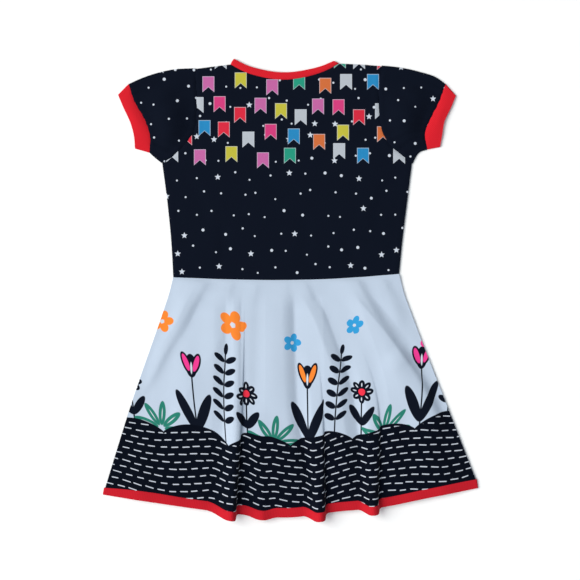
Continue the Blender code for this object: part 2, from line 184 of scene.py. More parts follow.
def bent(start, bend, end, points=18):
    # a crease's line: a bow from start to end that passes near bend
    t = np.linspace(0.0, 1.0, points)[:, None]
    start, bend, end = np.array(start), np.array(bend), np.array(end)
    control = 2 * bend - (start + end) / 2
    return (1 - t) ** 2 * start + 2 * t * (1 - t) * control + t * t * end


def beside(line, x, y):
    # for each point its place along a line, its distance from it and which side it lies on
    lengths = lengthsAlong(line)
    nearest = np.full(np.shape(x), 1e9)
    along = np.zeros(np.shape(x))
    side = np.zeros(np.shape(x))
    for i, step in enumerate(np.diff(line, axis=0)):
        dx = x - line[i, 0]
        dy = y - line[i, 1]
        long = max(np.hypot(*step), 1e-6)
        t = np.clip((dx * step[0] + dy * step[1]) / long ** 2, 0.0, 1.0)
        away = np.hypot(dx - t * step[0], dy - t * step[1])
        closer = away < nearest
        nearest = np.where(closer, away, nearest)
        along = np.where(closer, lengths[i] + t * long, along)
        side = np.where(closer, step[0] * dy - step[1] * dx, side)
    return along, nearest, side, lengths[-1]


def creaseRelief(x, y, creases):
    # height that soft troughs take off a cloth, or add to it where depth is negative
    relief = np.zeros(np.shape(x))
    for start, bend, end, depth, left, right in creases:
        along, away, side, length = beside(bent(start, bend, end), x, y)
        half = np.where(side < 0, left, right)
        ends = smoothStep(along / creaseFade) * smoothStep((length - along) / creaseFade)
        relief = relief - depth * np.exp(-(away / half) ** 2) * ends
    return relief


def ripple(x, y, pitch, height, turn, seed):
    # faint unevenness of a cloth that lies loose: a few crossing waves
    waves = np.random.default_rng(seed)
    relief = np.zeros(np.shape(x))
    for _ in range(6):
        angle = turn + waves.uniform(-0.9, 0.9)
        length = pitch * waves.uniform(0.6, 1.6)
        phase = waves.uniform(0.0, 2 * math.pi)
        across = x * math.cos(angle) + y * math.sin(angle)
        relief = relief + np.sin(across * 2 * math.pi / length + phase)
    return relief * height / 6


def distanceTo(line, x, y):
    return beside(line, x, y)[1]


seamRoll = {
    "dip": 0.55,        # how far a panel sinks at its seam
    "dipWidth": 1.3,
    "ridge": 0.35,      # the seam allowance behind it lifts the cloth this much
    "ridgeAt": 4.2,
    "ridgeWidth": 2.6,
}


def rolledSeam(away):
    # height beside a seam: a narrow dip at the stitches, then the soft lift of the allowance
    dip = seamRoll["dip"] * np.exp(-(away / seamRoll["dipWidth"]) ** 2)
    lift = seamRoll["ridge"] * np.exp(-((away - seamRoll["ridgeAt"]) / seamRoll["ridgeWidth"]) ** 2)
    return lift - dip


# Meshes

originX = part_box("front_bodice")[0][0] - armhole["left"][-1][0] * mm
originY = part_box("front_bodice")[0][1] - edgeCurve(waist, True)[:, 1].min() * mm


def makeShell(name, points, normals, cut, thickness, face, reverse, closed=False):
    # thin cloth about a grid of points: its face, its reverse and the raw or folded rims
    rows, columns = points.shape[:2]
    outer = points + normals * thickness / 2
    inner = points - normals * thickness / 2
    place = np.vstack([outer.reshape(-1, 3), inner.reshape(-1, 3)]) * mm
    place[:, 0] += originX
    place[:, 1] += originY
    below = rows * columns
    number = np.arange(below).reshape(rows, columns)
    near = number if closed else number[:-1]
    far = np.roll(number, -1, axis=0) if closed else number[1:]

    def quads(a, b, c, d):
        return np.stack([a, b, c, d], axis=-1).reshape(-1, 4)

    faces = [quads(near[:, :-1], near[:, 1:], far[:, 1:], far[:, :-1])]
    faces.append(quads(near[:, :-1], far[:, :-1], far[:, 1:], near[:, 1:]) + below)
    front = len(faces[0])
    back = len(faces[1])
    faces.append(quads(near[:, 0], far[:, 0], far[:, 0] + below, near[:, 0] + below))
    faces.append(quads(near[:, -1], near[:, -1] + below, far[:, -1] + below, far[:, -1]))
    if not closed:
        first = number[0]
        last = number[-1]
        faces.append(quads(first[:-1], first[:-1] + below, first[1:] + below, first[1:]))
        faces.append(quads(last[:-1], last[1:], last[1:] + below, last[:-1] + below))
    faces = np.vstack(faces)
    one = place[faces[0]]
    if np.dot(np.cross(one[1] - one[0], one[2] - one[0]), normals[0, 0]) < 0:
        faces = faces[:, ::-1]

    mesh = bpy.data.meshes.new(name)
    mesh.from_pydata(place.tolist(), [], faces.tolist())
    spread = mesh.attributes.new("cut", "FLOAT_VECTOR", "POINT")
    spread.data.foreach_set("vector", np.vstack([cut.reshape(-1, 3)] * 2).ravel())
    mesh.materials.append(face)
    mesh.materials.append(reverse)
    index = np.zeros(len(faces), dtype=np.int32)
    index[front:front + back] = 1
    mesh.polygons.foreach_set("material_index", index)
    mesh.shade_smooth()
    mesh.set_sharp_from_angle(angle=math.radians(60))
    mesh.update()
    piece = bpy.data.objects.new(name, mesh)
    bpy.context.scene.collection.objects.link(piece)
    return piece


def flatCut(points, shift):
    return np.dstack([points[..., 0] + shift, points[..., 1], np.zeros(points.shape[:2])])


def foldRound(upper, lower, inside, steps):
    # points and normals round a folded edge, from the upper layer down to the lower one
    out = upper - inside
    out[:, 2] = 0.0
    out /= np.linalg.norm(out, axis=1)[:, None]
    centre = (upper + lower) / 2
    radius = (upper[:, 2] - lower[:, 2])[:, None] / 2
    up = np.array([0.0, 0.0, 1.0])
    angles = np.linspace(math.pi / 2, -math.pi / 2, steps + 1)[1:-1]
    normals = np.array([math.cos(angle) * out + math.sin(angle) * up for angle in angles])
    return centre + radius * normals, normals


def makeTube(name, upper, lower, across, thickness, face, reverse):
    # cloth that goes round both layers; both grids run alike, and across is the cut's second length,
    # or None where the cut is read straight from above
    folds = 6
    right, rightNormals = foldRound(upper[-1], lower[-1], upper[-3], folds)
    left, leftNormals = foldRound(upper[0], lower[0], upper[2], folds)
    points = np.concatenate([upper, right, lower[::-1], left[::-1]])
    normals = np.concatenate([normalsOf(upper, 1), rightNormals,
                              normalsOf(lower, -1)[::-1], leftNormals[::-1]])
    if across is None:
        cut = flatCut(points, 0.0)
    else:
        width = np.broadcast_to(across, upper.shape[:2])
        width = np.concatenate([width, np.repeat(width[-1:], len(right), axis=0), width[::-1],
                                np.repeat(width[:1], len(left), axis=0)])
        cut = np.dstack([arcDown(points), width, np.zeros(width.shape)])
    return makeShell(name, points, normals, cut, thickness, face, reverse, closed=True)


def dress(piece, node):
    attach(piece, "root")
    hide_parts(node)


def layPanel(name, node, points, sign, cut, face, reverse):
    piece = makeShell(name, points, normalsOf(points, sign), cut, layers["jersey"], face, reverse)
    dress(piece, node)


# Shader maths

class Wire:
    # a value on its way through a node tree, which can be added, scaled and compared
    def __init__(self, tree, socket):
        self.tree = tree
        self.socket = socket

    def maths(self, operation, *others):
        node = self.tree.nodes.new("ShaderNodeMath")
        node.operation = operation
        for slot, value in enumerate((self,) + others):
            plug(self.tree, value, node.inputs[slot])
        return Wire(self.tree, node.outputs[0])

    def negative(self):
        return self * -1.0

    def clamped(self):
        return self.most(0.0).least(1.0)

    def inside(self, soft=0.35):
        # a mask from a distance that is negative inside a shape
        return (self.negative() / soft + 0.5).clamped()


def wireMethod(operation):
    return lambda self, *others: self.maths(operation, *others)


for methodName, operation in {
        "__add__": "ADD", "__sub__": "SUBTRACT", "__mul__": "MULTIPLY", "__truediv__": "DIVIDE",
        "__mod__": "FLOORED_MODULO", "__abs__": "ABSOLUTE", "power": "POWER", "below": "LESS_THAN",
        "least": "MINIMUM", "most": "MAXIMUM", "whole": "FLOOR", "sine": "SINE",
        "cosine": "COSINE"}.items():
    setattr(Wire, methodName, wireMethod(operation))


def plug(tree, value, socket):
    if isinstance(value, Wire):
        tree.links.new(value.socket, socket)
    else:
        socket.default_value = value


def length2(x, y):
    return (x * x + y * y).maths("SQRT")


def splitVector(tree, socket):
    node = tree.nodes.new("ShaderNodeSeparateXYZ")
    tree.links.new(socket, node.inputs[0])
    return Wire(tree, node.outputs[0]), Wire(tree, node.outputs[1])


def chance(tree, x, y, shift=0.0):
    # three even random values for a cell
    joint = tree.nodes.new("ShaderNodeCombineXYZ")
    plug(tree, x, joint.inputs[0])
    plug(tree, y, joint.inputs[1])
    joint.inputs[2].default_value = shift
    noise = tree.nodes.new("ShaderNodeTexWhiteNoise")
    noise.noise_dimensions = "3D"
    tree.links.new(joint.outputs[0], noise.inputs["Vector"])
    parts = tree.nodes.new("ShaderNodeSeparateColor")
    tree.links.new(noise.outputs["Color"], parts.inputs[0])
    return [Wire(tree, parts.outputs[i]) for i in range(3)]


def mixed(tree, mask, under, over):
    # colour over another where the mask is 1; colours are wires or rgba values
    node = tree.nodes.new("ShaderNodeMix")
    node.data_type = "RGBA"
    plug(tree, mask, node.inputs[0])
    plug(tree, under, node.inputs[6])
    plug(tree, over, node.inputs[7])
    return Wire(tree, node.outputs[2])


def noiseOf(tree, place, scale, detail=2.0):
    node = tree.nodes.new("ShaderNodeTexNoise")
    tree.links.new(place, node.inputs["Vector"])
    node.inputs["Scale"].default_value = scale
    node.inputs["Detail"].default_value = detail
    return Wire(tree, node.outputs["Fac"])


def makeGroup(name, inputs, outputs):
    # an empty node group with its named sockets; returns the tree, its inputs and its outputs
    tree = bpy.data.node_groups.new(name, "ShaderNodeTree")
    for label, kind, value in inputs:
        socket = tree.interface.new_socket(label, in_out="INPUT", socket_type=kind)
        if value is not None:
            socket.default_value = value
    for label, kind in outputs:
        tree.interface.new_socket(label, in_out="OUTPUT", socket_type=kind)
    start = tree.nodes.new("NodeGroupInput")
    end = tree.nodes.new("NodeGroupOutput")
    return tree, start.outputs, end.inputs


def useGroup(tree, group, **values):
    # a group placed in a tree, and its outputs as wires by their names
    node = tree.nodes.new("ShaderNodeGroup")
    node.node_tree = group
    for label, value in values.items():
        plug(tree, value, node.inputs[label])
    return {socket.name: Wire(tree, socket) for socket in node.outputs}


def tone(red, green, blue):
    # a colour given as the screen shows it, 0 to 255, as the shader's linear values
    levels = []
    for level in (red, green, blue):
        level = level / 255
        levels.append(level / 12.92 if level <= 0.04045 else ((level + 0.055) / 1.055) ** 2.4)
    return (*levels, 1.0)


# Knit, print and wear as node groups

floatSocket = "NodeSocketFloat"
colourSocket = "NodeSocketColor"
vectorSocket = "NodeSocketVector"


def buildKnit():
    # columns of small V stitches, in millimetres of cloth
    tree, start, end = makeGroup(
        "knitStitches",
        [("Place", vectorSocket, None), ("Wale", floatSocket, 1.0), ("Course", floatSocket, 0.8)],
        [("Height", floatSocket)])
    x, y = splitVector(tree, start["Place"])
    column = x / Wire(tree, start["Wale"])
    lean = abs(column % 1.0 - 0.5)
    legs = (column * math.pi).sine().maths("ABSOLUTE").power(0.7)
    loops = ((y / Wire(tree, start["Course"]) + lean) * (2 * math.pi)).sine() * 0.28 + 0.72
    plug(tree, legs * loops, end["Height"])
    return tree


def buildRib():
    # raised ribs that cross a band, with the small loops along each
    tree, start, end = makeGroup(
        "ribStitches",
        [("Place", vectorSocket, None), ("Rib", floatSocket, 2.2)],
        [("Height", floatSocket)])
    x, y = splitVector(tree, start["Place"])
    ribs = (x / Wire(tree, start["Rib"]) * math.pi).sine().maths("ABSOLUTE").power(0.5)
    loops = (y * 7.5 + (x * 2.1).sine()).sine() * 0.12 + 0.88
    plug(tree, ribs * loops, end["Height"])
    return tree


def buildMottle():
    # slight unevenness of dye and light nap, as a factor near 1
    tree, start, end = makeGroup(
        "clothMottle",
        [("Place", vectorSocket, None), ("Amount", floatSocket, 0.05)],
        [("Factor", floatSocket), ("Nap", floatSocket)])
    broad = noiseOf(tree, start["Place"], 0.03, 3.0)
    fine = noiseOf(tree, start["Place"], 0.9, 2.0)
    amount = Wire(tree, start["Amount"])
    plug(tree, (broad + fine - 1.0) * amount + 1.0, end["Factor"])
    plug(tree, fine, end["Nap"])
    return tree


nightMarks = {
    "spacing": 24.0,
    "wander": 13.0,         # how far a mark strays from its place on the grid
    "starShare": 0.2,
    "starRadius": 4.1,
    "starWaist": 0.47,      # inner radius of a star against its points
    "dotRadius": 1.15,      # of the small dots
    "largerShare": 0.25,    # of the dots, which are larger by the next value
    "largerDot": 0.6,
    "dotSpread": 0.25,
    "soft": 0.5,            # softness of a mark's edge
}


def starEdge(across, up, radius):
    # distance from the straight sides of an upright five-pointed star
    fold = math.pi / 5
    angle = up.maths("ARCTAN2", across) - math.pi / 2
    turned = angle.maths("PINGPONG", fold)
    inner = nightMarks["starWaist"]
    side = math.atan2(1.0 - inner * math.cos(fold), inner * math.sin(fold))
    reach = radius * math.cos(side)
    return length2(across, up) * (turned - side).cosine() - reach


def buildMarks():
    tree, start, end = makeGroup(
        "nightMarks", [("Place", vectorSocket, None)],
        [("Mark", floatSocket)])
    x, y = splitVector(tree, start["Place"])
    size = nightMarks
    row = (y / size["spacing"]).whole()
    x = x + (row % 2.0) * (size["spacing"] / 2)
    column = (x / size["spacing"]).whole()
    first, second, third = chance(tree, column, row)
    across = x % size["spacing"] - size["spacing"] / 2 - (first - 0.5) * size["wander"]
    up = y % size["spacing"] - size["spacing"] / 2 - (second - 0.5) * size["wander"]
    star = starEdge(across, up, size["starRadius"]).inside(size["soft"])
    larger = (first * 5.0 % 1.0).below(size["largerShare"]) * size["largerDot"]
    reach = length2(across, up) - larger - second * size["dotSpread"]
    dot = (reach - size["dotRadius"]).inside(size["soft"])
    isStar = third.below(size["starShare"])
    mark = isStar * star + (isStar * -1.0 + 1.0) * dot
    plug(tree, mark, end["Mark"])
    return tree


flagColours = {
    "mauve": tone(188, 98, 156),
    "pink": tone(203, 60, 119),
    "red": tone(208, 43, 63),
    "yellow": tone(187, 180, 62),
    "white": tone(176, 182, 190),
    "blue": tone(41, 131, 184),
    "orange": tone(202, 107, 60),
    "green": tone(39, 146, 120),
}
bunting = {
    "width": 15.4,
    "height": 20.6,
    "notch": 6.6,
    "trim": 0.7,            # paler line round each flag
    "soft": 0.4,
    # rows from the top: middle of the first flag, height of the tops, pitch, then each flag's colour,
    # how far it hangs below the others and how far it stands to the right of its place
    "rows": [
        {"first": -117.0, "top": 293.0, "pitch": 31.0, "flags": [
            ("pink", 0, 0), ("white", 1, 0), (None, 0, 0), (None, 0, 0), (None, 0, 0), (None, 0, 0),
            ("green", 0, 0), ("white", 1, -6), ("red", 2, -6)]},
        {"first": -100.0, "top": 267.0, "pitch": 36.0, "flags": [
            ("mauve", 5, -2), ("yellow", 0, 4), ("mauve", 9, 9), ("green", 2, 8), ("orange", 7, 6),
            ("white", 2, -3), ("blue", 2, -4)]},
        {"first": -112.0, "top": 236.0, "pitch": 25.6, "flags": [
            ("white", 1, -4), ("pink", 0, -1), ("red", 14, 0), ("mauve", 2, 1), ("yellow", 9, 2),
            ("white", 17, 2), ("mauve", 3, -1), ("pink", 4, 0), ("red", 17, 1), ("white", 9, 4)]},
        {"first": -133.0, "top": 205.0, "pitch": 29.0, "flags": [
            ("red", 12, 2), ("blue", 0, -3), ("red", 2, -7), ("white", 15, -4), ("pink", 5, -4),
            ("blue", 11, -3), ("orange", 18, 1), ("yellow", 6, 3), (None, 0, 0), ("orange", 8, -3)]},
        {"first": -148.0, "top": 175.0, "pitch": 36.0, "flags": [
            ("white", 4, -1), ("mauve", 8, -1), ("yellow", 4, 4), ("mauve", 12, 9), ("green", 6, 8),
            (None, 0, 0), ("white", 0, 0), ("blue", 6, -5), ("white", 6, 6)]},
    ],
}
dipScale = 20.0     # a ramp's alpha holds a flag's dip as a share of this, from 1 mm up; 0 is no flag
slideScale = 10.0   # and its colour holds the slide, from this far left to this far right


def rampOf(tree, stops, place):
    # colour and alpha of each stop in turn, without blending
    node = tree.nodes.new("ShaderNodeValToRGB")
    ramp = node.color_ramp
    ramp.interpolation = "CONSTANT"
    for i, stop in enumerate(stops):
        element = ramp.elements[i] if i < 2 else ramp.elements.new(i / len(stops))
        element.position = i / len(stops)
        element.color = stop
    plug(tree, place, node.inputs[0])
    return Wire(tree, node.outputs[0]), Wire(tree, node.outputs[1])


def buildBunting():
    tree, start, end = makeGroup(
        "buntingFlags", [("Place", vectorSocket, None)],
        [("Colour", colourSocket), ("Flag", floatSocket), ("Trim", floatSocket)])
    x, y = splitVector(tree, start["Place"])
    colour = flagColours["white"]
    flag = None
    trim = None
    half = bunting["width"] / 2
    for row in bunting["rows"]:
        count = len(row["flags"])
        along = (x - row["first"]) / row["pitch"] + 0.5
        place = (along.whole() % count + 0.5) / count
        shade = rampOf(tree, [flagColours[name or "white"] for name, _, _ in row["flags"]], place)[0]
        stops = []
        for name, dip, slide in row["flags"]:
            level = (slide + slideScale) / (2 * slideScale)
            stops.append((level, level, level, (dip + 1) / dipScale if name else 0.0))
        slide, dip = rampOf(tree, stops, place)
        slide = slide * (2 * slideScale) - slideScale
        across = abs((along % 1.0 - 0.5) * row["pitch"] - slide)
        down = dip * -dipScale + (row["top"] + 1.0) - y         # from the flag's top downwards
        notch = (across / half * -1.0 + 1.0) * bunting["notch"] + down - bunting["height"]
        edge = (across - half).most(down.negative()).most(notch)
        shown = edge.inside(bunting["soft"]) * dip.maths("GREATER_THAN", 0.01)
        line = shown * (edge + bunting["trim"]).negative().inside(bunting["soft"])
        colour = mixed(tree, shown, colour, shade)
        flag = shown if flag is None else flag.most(shown)
        trim = line if trim is None else trim.most(line)
    plug(tree, colour, end["Colour"])
    plug(tree, flag, end["Flag"])
    plug(tree, trim, end["Trim"])
    return tree


border = {
    "height": 82.0,         # of the dark border above the hem seam
    "scallop": 15.0,
    "scallopPitch": 88.0,
    "row": 9.1,             # rows of running stitches
    "pitch": 15.0,
    "stitch": 4.4,          # half the length of one
    "stitchHalf": 0.66,     # half its thickness
    "wave": 6.5,            # the rows rise and fall by this much
    "waveLength": 215.0,
    "sway": 0.7, "swayTurn": 0.057,     # how far the rows waver, and how often
    "rowShift": 0.47,       # of a row against the next, in pitches
    "margin": 3.0,          # no stitch nearer to the scallops than this
}


def buildBorder():
    tree, start, end = makeGroup(
        "stitchedBorder", [("Place", vectorSocket, None)],
        [("Ground", floatSocket), ("Stitches", floatSocket)])
    x, y = splitVector(tree, start["Place"])
    size = border
    bow = (x * (math.pi / size["scallopPitch"])).sine().maths("ABSOLUTE")
    rim = bow.power(0.8) * size["scallop"] + size["height"]
    ground = (y - rim).inside(0.5)
    drift = (x * (2 * math.pi / size["waveLength"]) + 0.9).sine() * size["wave"] + y
    drift = drift + (x * size["swayTurn"]).sine() * size["sway"]
    row = (drift / size["row"]).whole()
    rowChance = chance(tree, row, 3.0)[0]
    shifted = x / size["pitch"] + row * size["rowShift"] + rowChance * 0.2
    first, second, third = chance(tree, shifted.whole(), row)
    across = (shifted % 1.0 - 0.5) * size["pitch"] + (first - 0.5) * 2.0
    up = drift % size["row"] - size["row"] / 2 + (second - 0.5) + across * (third - 0.5) * 0.12
    reach = (abs(across) - third * 1.4 - (size["stitch"] - 1.0)).most(0.0)
    stitch = (length2(reach, up) - size["stitchHalf"]).inside(0.5)
    inner = (y - rim + size["margin"]).inside(0.5)
    plug(tree, ground, end["Ground"])
    plug(tree, stitch * inner, end["Stitches"])
    return tree


meadow = {
    "pitch": 156.0,             # one repeat of the row of plants
    "tulipAt": 26.0, "tulipTop": 166.0,
    "sprigAt": 64.0, "sprigTop": 196.0,
    "daisyAt": 100.0, "daisyTop": 146.0,
    "fanAt": 134.0,
    "blossomPitch": 92.0, "blossomHeight": 214.0,
    "blossomFrom": 0.36,        # where the first blossom stands, in pitches
    "tulipStem": 1.0, "sprigStem": 0.9, "daisyStem": 1.0,
    "sprigBow": 7.0, "sprigStep": 15.0,
    "daisyHeart": 4.6, "blossomHeart": 3.0, "blossomSoft": 0.6,
    # ovals: how far across and up they stand, half their width and height, and their turn
    "tulipLeaf": (11.0, -52.0, 6.4, 27.0, -0.42),
    "tulipOuter": (6.4, 9.0, 5.6, 14.5, -0.34),
    "tulipMiddle": (0.0, 6.0, 7.5, 15.0, 0.0),
    "tulipBright": (6.6, 9.5, 3.2, 11.0, -0.34),
    "tulipLight": (0.0, 3.0, 1.3, 7.5, 0.0),
    "sprigLeaf": (7.6, 1.5, 3.6, 8.2, -0.95),
    "sprigTip": (0.0, 5.0, 2.8, 7.5, 0.0),
    "daisyLeaf": (8.0, -32.0, 5.0, 15.0, -0.6),
    # rings of petals or leaves: how many, where each begins and ends, and half its width
    "daisyPetals": (8, 3.0, 15.5, 4.2), "daisyVeins": (8, 7.0, 12.0, 0.8),
    "fanLeaves": (9, 4.0, 36.0, 4.6), "fanVeins": (9, 12.0, 26.0, 0.6),
    "blossomPetals": (5, 2.5, 17.0, 6.0),
}
meadowColours = {
    "pink": tone(230, 60, 140),
    "red": tone(225, 50, 70),
    "orange": tone(240, 130, 50),
    "teal": tone(40, 120, 104),
    "yellow": tone(222, 200, 70),
    "blue": tone(52, 150, 205),
}


def oval(x, y, wide, tall, turn=0.0):
    # rough distance from an oval about the origin of x, y
    if turn:
        x, y = x * math.cos(turn) + y * math.sin(turn), y * math.cos(turn) - x * math.sin(turn)
    return (length2(x / wide, y / tall) - 1.0) * min(wide, tall)


def ovalAt(x, y, shape):
    across, up, wide, tall, turn = shape
    return oval(x - across, y - up, wide, tall, turn)


def petals(x, y, count, near, far, half):
    # distance from a ring of equal petals that point outwards
    angle = y.maths("ARCTAN2", x).maths("PINGPONG", math.pi / count)
    radius = length2(x, y)
    return oval(radius * angle.cosine() - (near + far) / 2, radius * angle.sine(), (far - near) / 2, half)


def buildMeadow():
    # a row of plain folk flowers and leaves over the border, and loose blossoms above them
    tree, start, end = makeGroup(
        "folkMeadow", [("Place", vectorSocket, None)],
        [("Dark", floatSocket), ("Colour", colourSocket), ("Bright", floatSocket), ("Light", floatSocket)])
    x, y = splitVector(tree, start["Place"])
    size = meadow
    around = x % size["pitch"]
    pick = chance(tree, (x / size["pitch"]).whole(), 1.0)

    # tulip: stem, two leaves and a head of three petals
    tx = around - size["tulipAt"]
    side = abs(tx)
    ty = y - size["tulipTop"]
    dark = (side - size["tulipStem"]).most(ty).inside()
    dark = dark.most(ovalAt(side, ty, size["tulipLeaf"]).inside())
    head = ovalAt(side, ty, size["tulipOuter"]).least(ovalAt(tx, ty, size["tulipMiddle"]))
    dark = dark.most(head.inside())
    bright = ovalAt(side, ty, size["tulipBright"]).inside()
    tulipColour = mixed(tree, pick[0].below(0.5), meadowColours["pink"], meadowColours["orange"])
    light = ovalAt(tx, ty, size["tulipLight"]).inside()

    # sprig: a bowed stem with pairs of small leaves
    bow = (y - border["height"]) / 100.0
    sx = around - size["sprigAt"] - bow * bow * size["sprigBow"]
    top = y - size["sprigTop"]
    dark = dark.most((abs(sx) - size["sprigStem"]).most(top).inside())
    lift = y % size["sprigStep"] - size["sprigStep"] / 2
    leaf = ovalAt(abs(sx), lift, size["sprigLeaf"])
    leaf = leaf.most(top).most(y.negative() + (border["height"] + 24.0))
    dark = dark.most(leaf.inside())
    dark = dark.most(ovalAt(sx, top, size["sprigTip"]).inside())

    # daisy: a ring of petals round a bright heart
    dx = around - size["daisyAt"]
    dy = y - size["daisyTop"]
    dark = dark.most((abs(dx) - size["daisyStem"]).most(dy).inside())
    dark = dark.most(ovalAt(abs(dx), dy, size["daisyLeaf"]).inside())
    dark = dark.most(petals(dx, dy, *size["daisyPetals"]).inside())
    light = light.most(petals(dx, dy, *size["daisyVeins"]).inside())
    heartEdge = length2(dx, dy) - size["daisyHeart"]
    heart = heartEdge.inside()
    heartColour = mixed(tree, pick[1].below(0.5), meadowColours["yellow"], meadowColours["red"])

    # fan: a low tuft of pointed leaves, whole where the repeat begins anew
    fx = (x - (size["fanAt"] - size["pitch"] / 2)) % size["pitch"] - size["pitch"] / 2
    fy = y - border["height"] - 4.0
    tuftEdge = petals(fx, fy, *size["fanLeaves"])
    tuft = tuftEdge.inside()
    light = light.most(petals(fx, fy, *size["fanVeins"]).inside())

    # loose blossoms
    along = x / size["blossomPitch"] + size["blossomFrom"]
    luck = chance(tree, along.whole(), 7.0)
    bx = (along % 1.0 - 0.5) * size["blossomPitch"] + (luck[0] - 0.5) * 30.0
    by = y - size["blossomHeight"] - (luck[1] - 0.5) * 44.0
    grow = luck[2] * 0.55 + 0.62
    bx, by = bx / grow, by / grow
    blossomEdge = petals(bx, by, *size["blossomPetals"])
    blossom = blossomEdge.inside(size["blossomSoft"])
    middle = (length2(bx, by) - size["blossomHeart"]).inside(size["blossomSoft"])
    blossomColour = mixed(tree, luck[0].below(0.62), meadowColours["blue"], meadowColours["pink"])
    blossomColour = mixed(tree, luck[0].below(0.3), blossomColour, meadowColours["orange"])

    colour = tulipColour
    # each colour reaches a little past its shape, so that no other shows at its edge
    for edge, shade in ((heartEdge, heartColour), (tuftEdge, meadowColours["teal"]),
                        (blossomEdge, blossomColour)):
        colour = mixed(tree, edge.below(1.5), colour, shade)
    plug(tree, dark, end["Dark"])
    plug(tree, colour, end["Colour"])
    plug(tree, bright.most(heart).most(tuft).most(blossom), end["Bright"])
    plug(tree, light.most(middle), end["Light"])
    return tree


knitGroup = buildKnit()
ribGroup = buildRib()
mottleGroup = buildMottle()
marksGroup = buildMarks()
buntingGroup = buildBunting()
borderGroup = buildBorder()
meadowGroup = buildMeadow()
print("print, knit and wear groups built")


# Cloth materials

looks = {
    "navy": tone(11, 17, 30),
    "ground": tone(5, 10, 22),
    "pale": tone(184, 197, 214),
    "mark": tone(200, 207, 218),
    "stitch": tone(194, 200, 211),
    "red": tone(215, 33, 45),
    # the hem band's red is the bands' red made darker: painted shade
    "hemShadedRed": tone(194, 30, 43),
    # red in the grooves between the ribs: painted shade
    "ribGrooveShade": tone(146, 14, 26),
    "reverseNavy": tone(120, 126, 142),
    "reversePale": tone(214, 220, 230),
    "trim": 0.55,           # how much of the mark's colour a flag's paler line takes
    "specular": 0.04,
    "sheenRoughness": 0.5,
    "jerseyBump": 0.22,
    "ribBump": 0.35,
    "bumpDistance": 0.0004,
    "nap": 0.25,            # of the nap in the height, beside the stitches
}


def newMaterial(name, roughness, sheen):
    material = bpy.data.materials.new(name)
    material.use_nodes = True
    tree = material.node_tree
    shader = tree.nodes["Principled BSDF"]
    shader.inputs["Roughness"].default_value = roughness
    shader.inputs["Metallic"].default_value = 0.0
    shader.inputs["Specular IOR Level"].default_value = looks["specular"]
    shader.inputs["Sheen Weight"].default_value = sheen
    shader.inputs["Sheen Roughness"].default_value = looks["sheenRoughness"]
    place = tree.nodes.new("ShaderNodeAttribute")
    place.attribute_name = "cut"
    return material, tree, shader, Wire(tree, place.outputs["Vector"])


def finishCloth(tree, shader, place, colour, height, strength, amount):
    # mottled colour and the knit's relief
    mottle = useGroup(tree, mottleGroup, Place=place, Amount=amount)
    node = tree.nodes.new("ShaderNodeMix")
    node.data_type = "RGBA"
    node.blend_type = "MULTIPLY"
    node.inputs[0].default_value = 1.0
    plug(tree, colour, node.inputs[6])
    plug(tree, mottle["Factor"], node.inputs[7])
    tree.links.new(node.outputs[2], shader.inputs["Base Color"])
    bump = tree.nodes.new("ShaderNodeBump")
    bump.inputs["Strength"].default_value = strength
    bump.inputs["Distance"].default_value = looks["bumpDistance"]
    plug(tree, height + mottle["Nap"] * looks["nap"], bump.inputs["Height"])
    tree.links.new(bump.outputs["Normal"], shader.inputs["Normal"])


def nightJersey(name, withFlags):
    material, tree, shader, place = newMaterial(name, 0.9, 0.02)
    marks = useGroup(tree, marksGroup, Place=place)
    colour = mixed(tree, marks["Mark"], looks["navy"], looks["mark"])
    if withFlags:
        flags = useGroup(tree, buntingGroup, Place=place)
        cloth = mixed(tree, flags["Trim"] * looks["trim"], flags["Colour"], looks["mark"])
        colour = mixed(tree, flags["Flag"], colour, cloth)
    knit = useGroup(tree, knitGroup, Place=place)
    finishCloth(tree, shader, place, colour, knit["Height"], looks["jerseyBump"], 0.10)
    return material


def meadowJersey(name):
    material, tree, shader, place = newMaterial(name, 0.9, 0.04)
    drawn = useGroup(tree, meadowGroup, Place=place)
    colour = mixed(tree, drawn["Dark"], looks["pale"], looks["navy"])
    colour = mixed(tree, drawn["Bright"], colour, drawn["Colour"])
    colour = mixed(tree, drawn["Light"], colour, looks["mark"])
    rows = useGroup(tree, borderGroup, Place=place)
    colour = mixed(tree, rows["Ground"], colour, looks["ground"])
    colour = mixed(tree, rows["Stitches"], colour, looks["stitch"])
    knit = useGroup(tree, knitGroup, Place=place)
    finishCloth(tree, shader, place, colour, knit["Height"], looks["jerseyBump"], 0.05)
    return material


def reverseJersey(name, colour):
    # the unprinted side, where purl bumps lie across
    material, tree, shader, place = newMaterial(name, 0.9, 0.1)
    knit = useGroup(tree, knitGroup, Place=place, Wale=0.8, Course=1.1)
    finishCloth(tree, shader, place, colour, knit["Height"], looks["jerseyBump"], 0.12)
    return material


def redRib(name, red):
    material, tree, shader, place = newMaterial(name, 0.8, 0.05)
    height = useGroup(tree, ribGroup, Place=place)["Height"]
    # the red darkens towards the low parts between the ribs: painted shade in the grooves, besides the
    # bump
    shade = mixed(tree, height * 0.4 + 0.6, looks["ribGrooveShade"], red)
    finishCloth(tree, shader, place, shade, height, looks["ribBump"], 0.08)
    return material


bodiceJersey = nightJersey("navyFlagJersey", True)
sleeveJersey = nightJersey("navyStarJersey", False)
skirtJersey = meadowJersey("paleMeadowJersey")
navyReverse = reverseJersey("navyReverse", looks["reverseNavy"])
paleReverse = reverseJersey("paleReverse", looks["reversePale"])
ribRed = redRib("redRib", looks["red"])
# the hem band gets the same rib in a darker red: painted shade
hemShadedRed = redRib("hemRibShaded", looks["hemShadedRed"])
print("cloth materials ready")


# Bodice

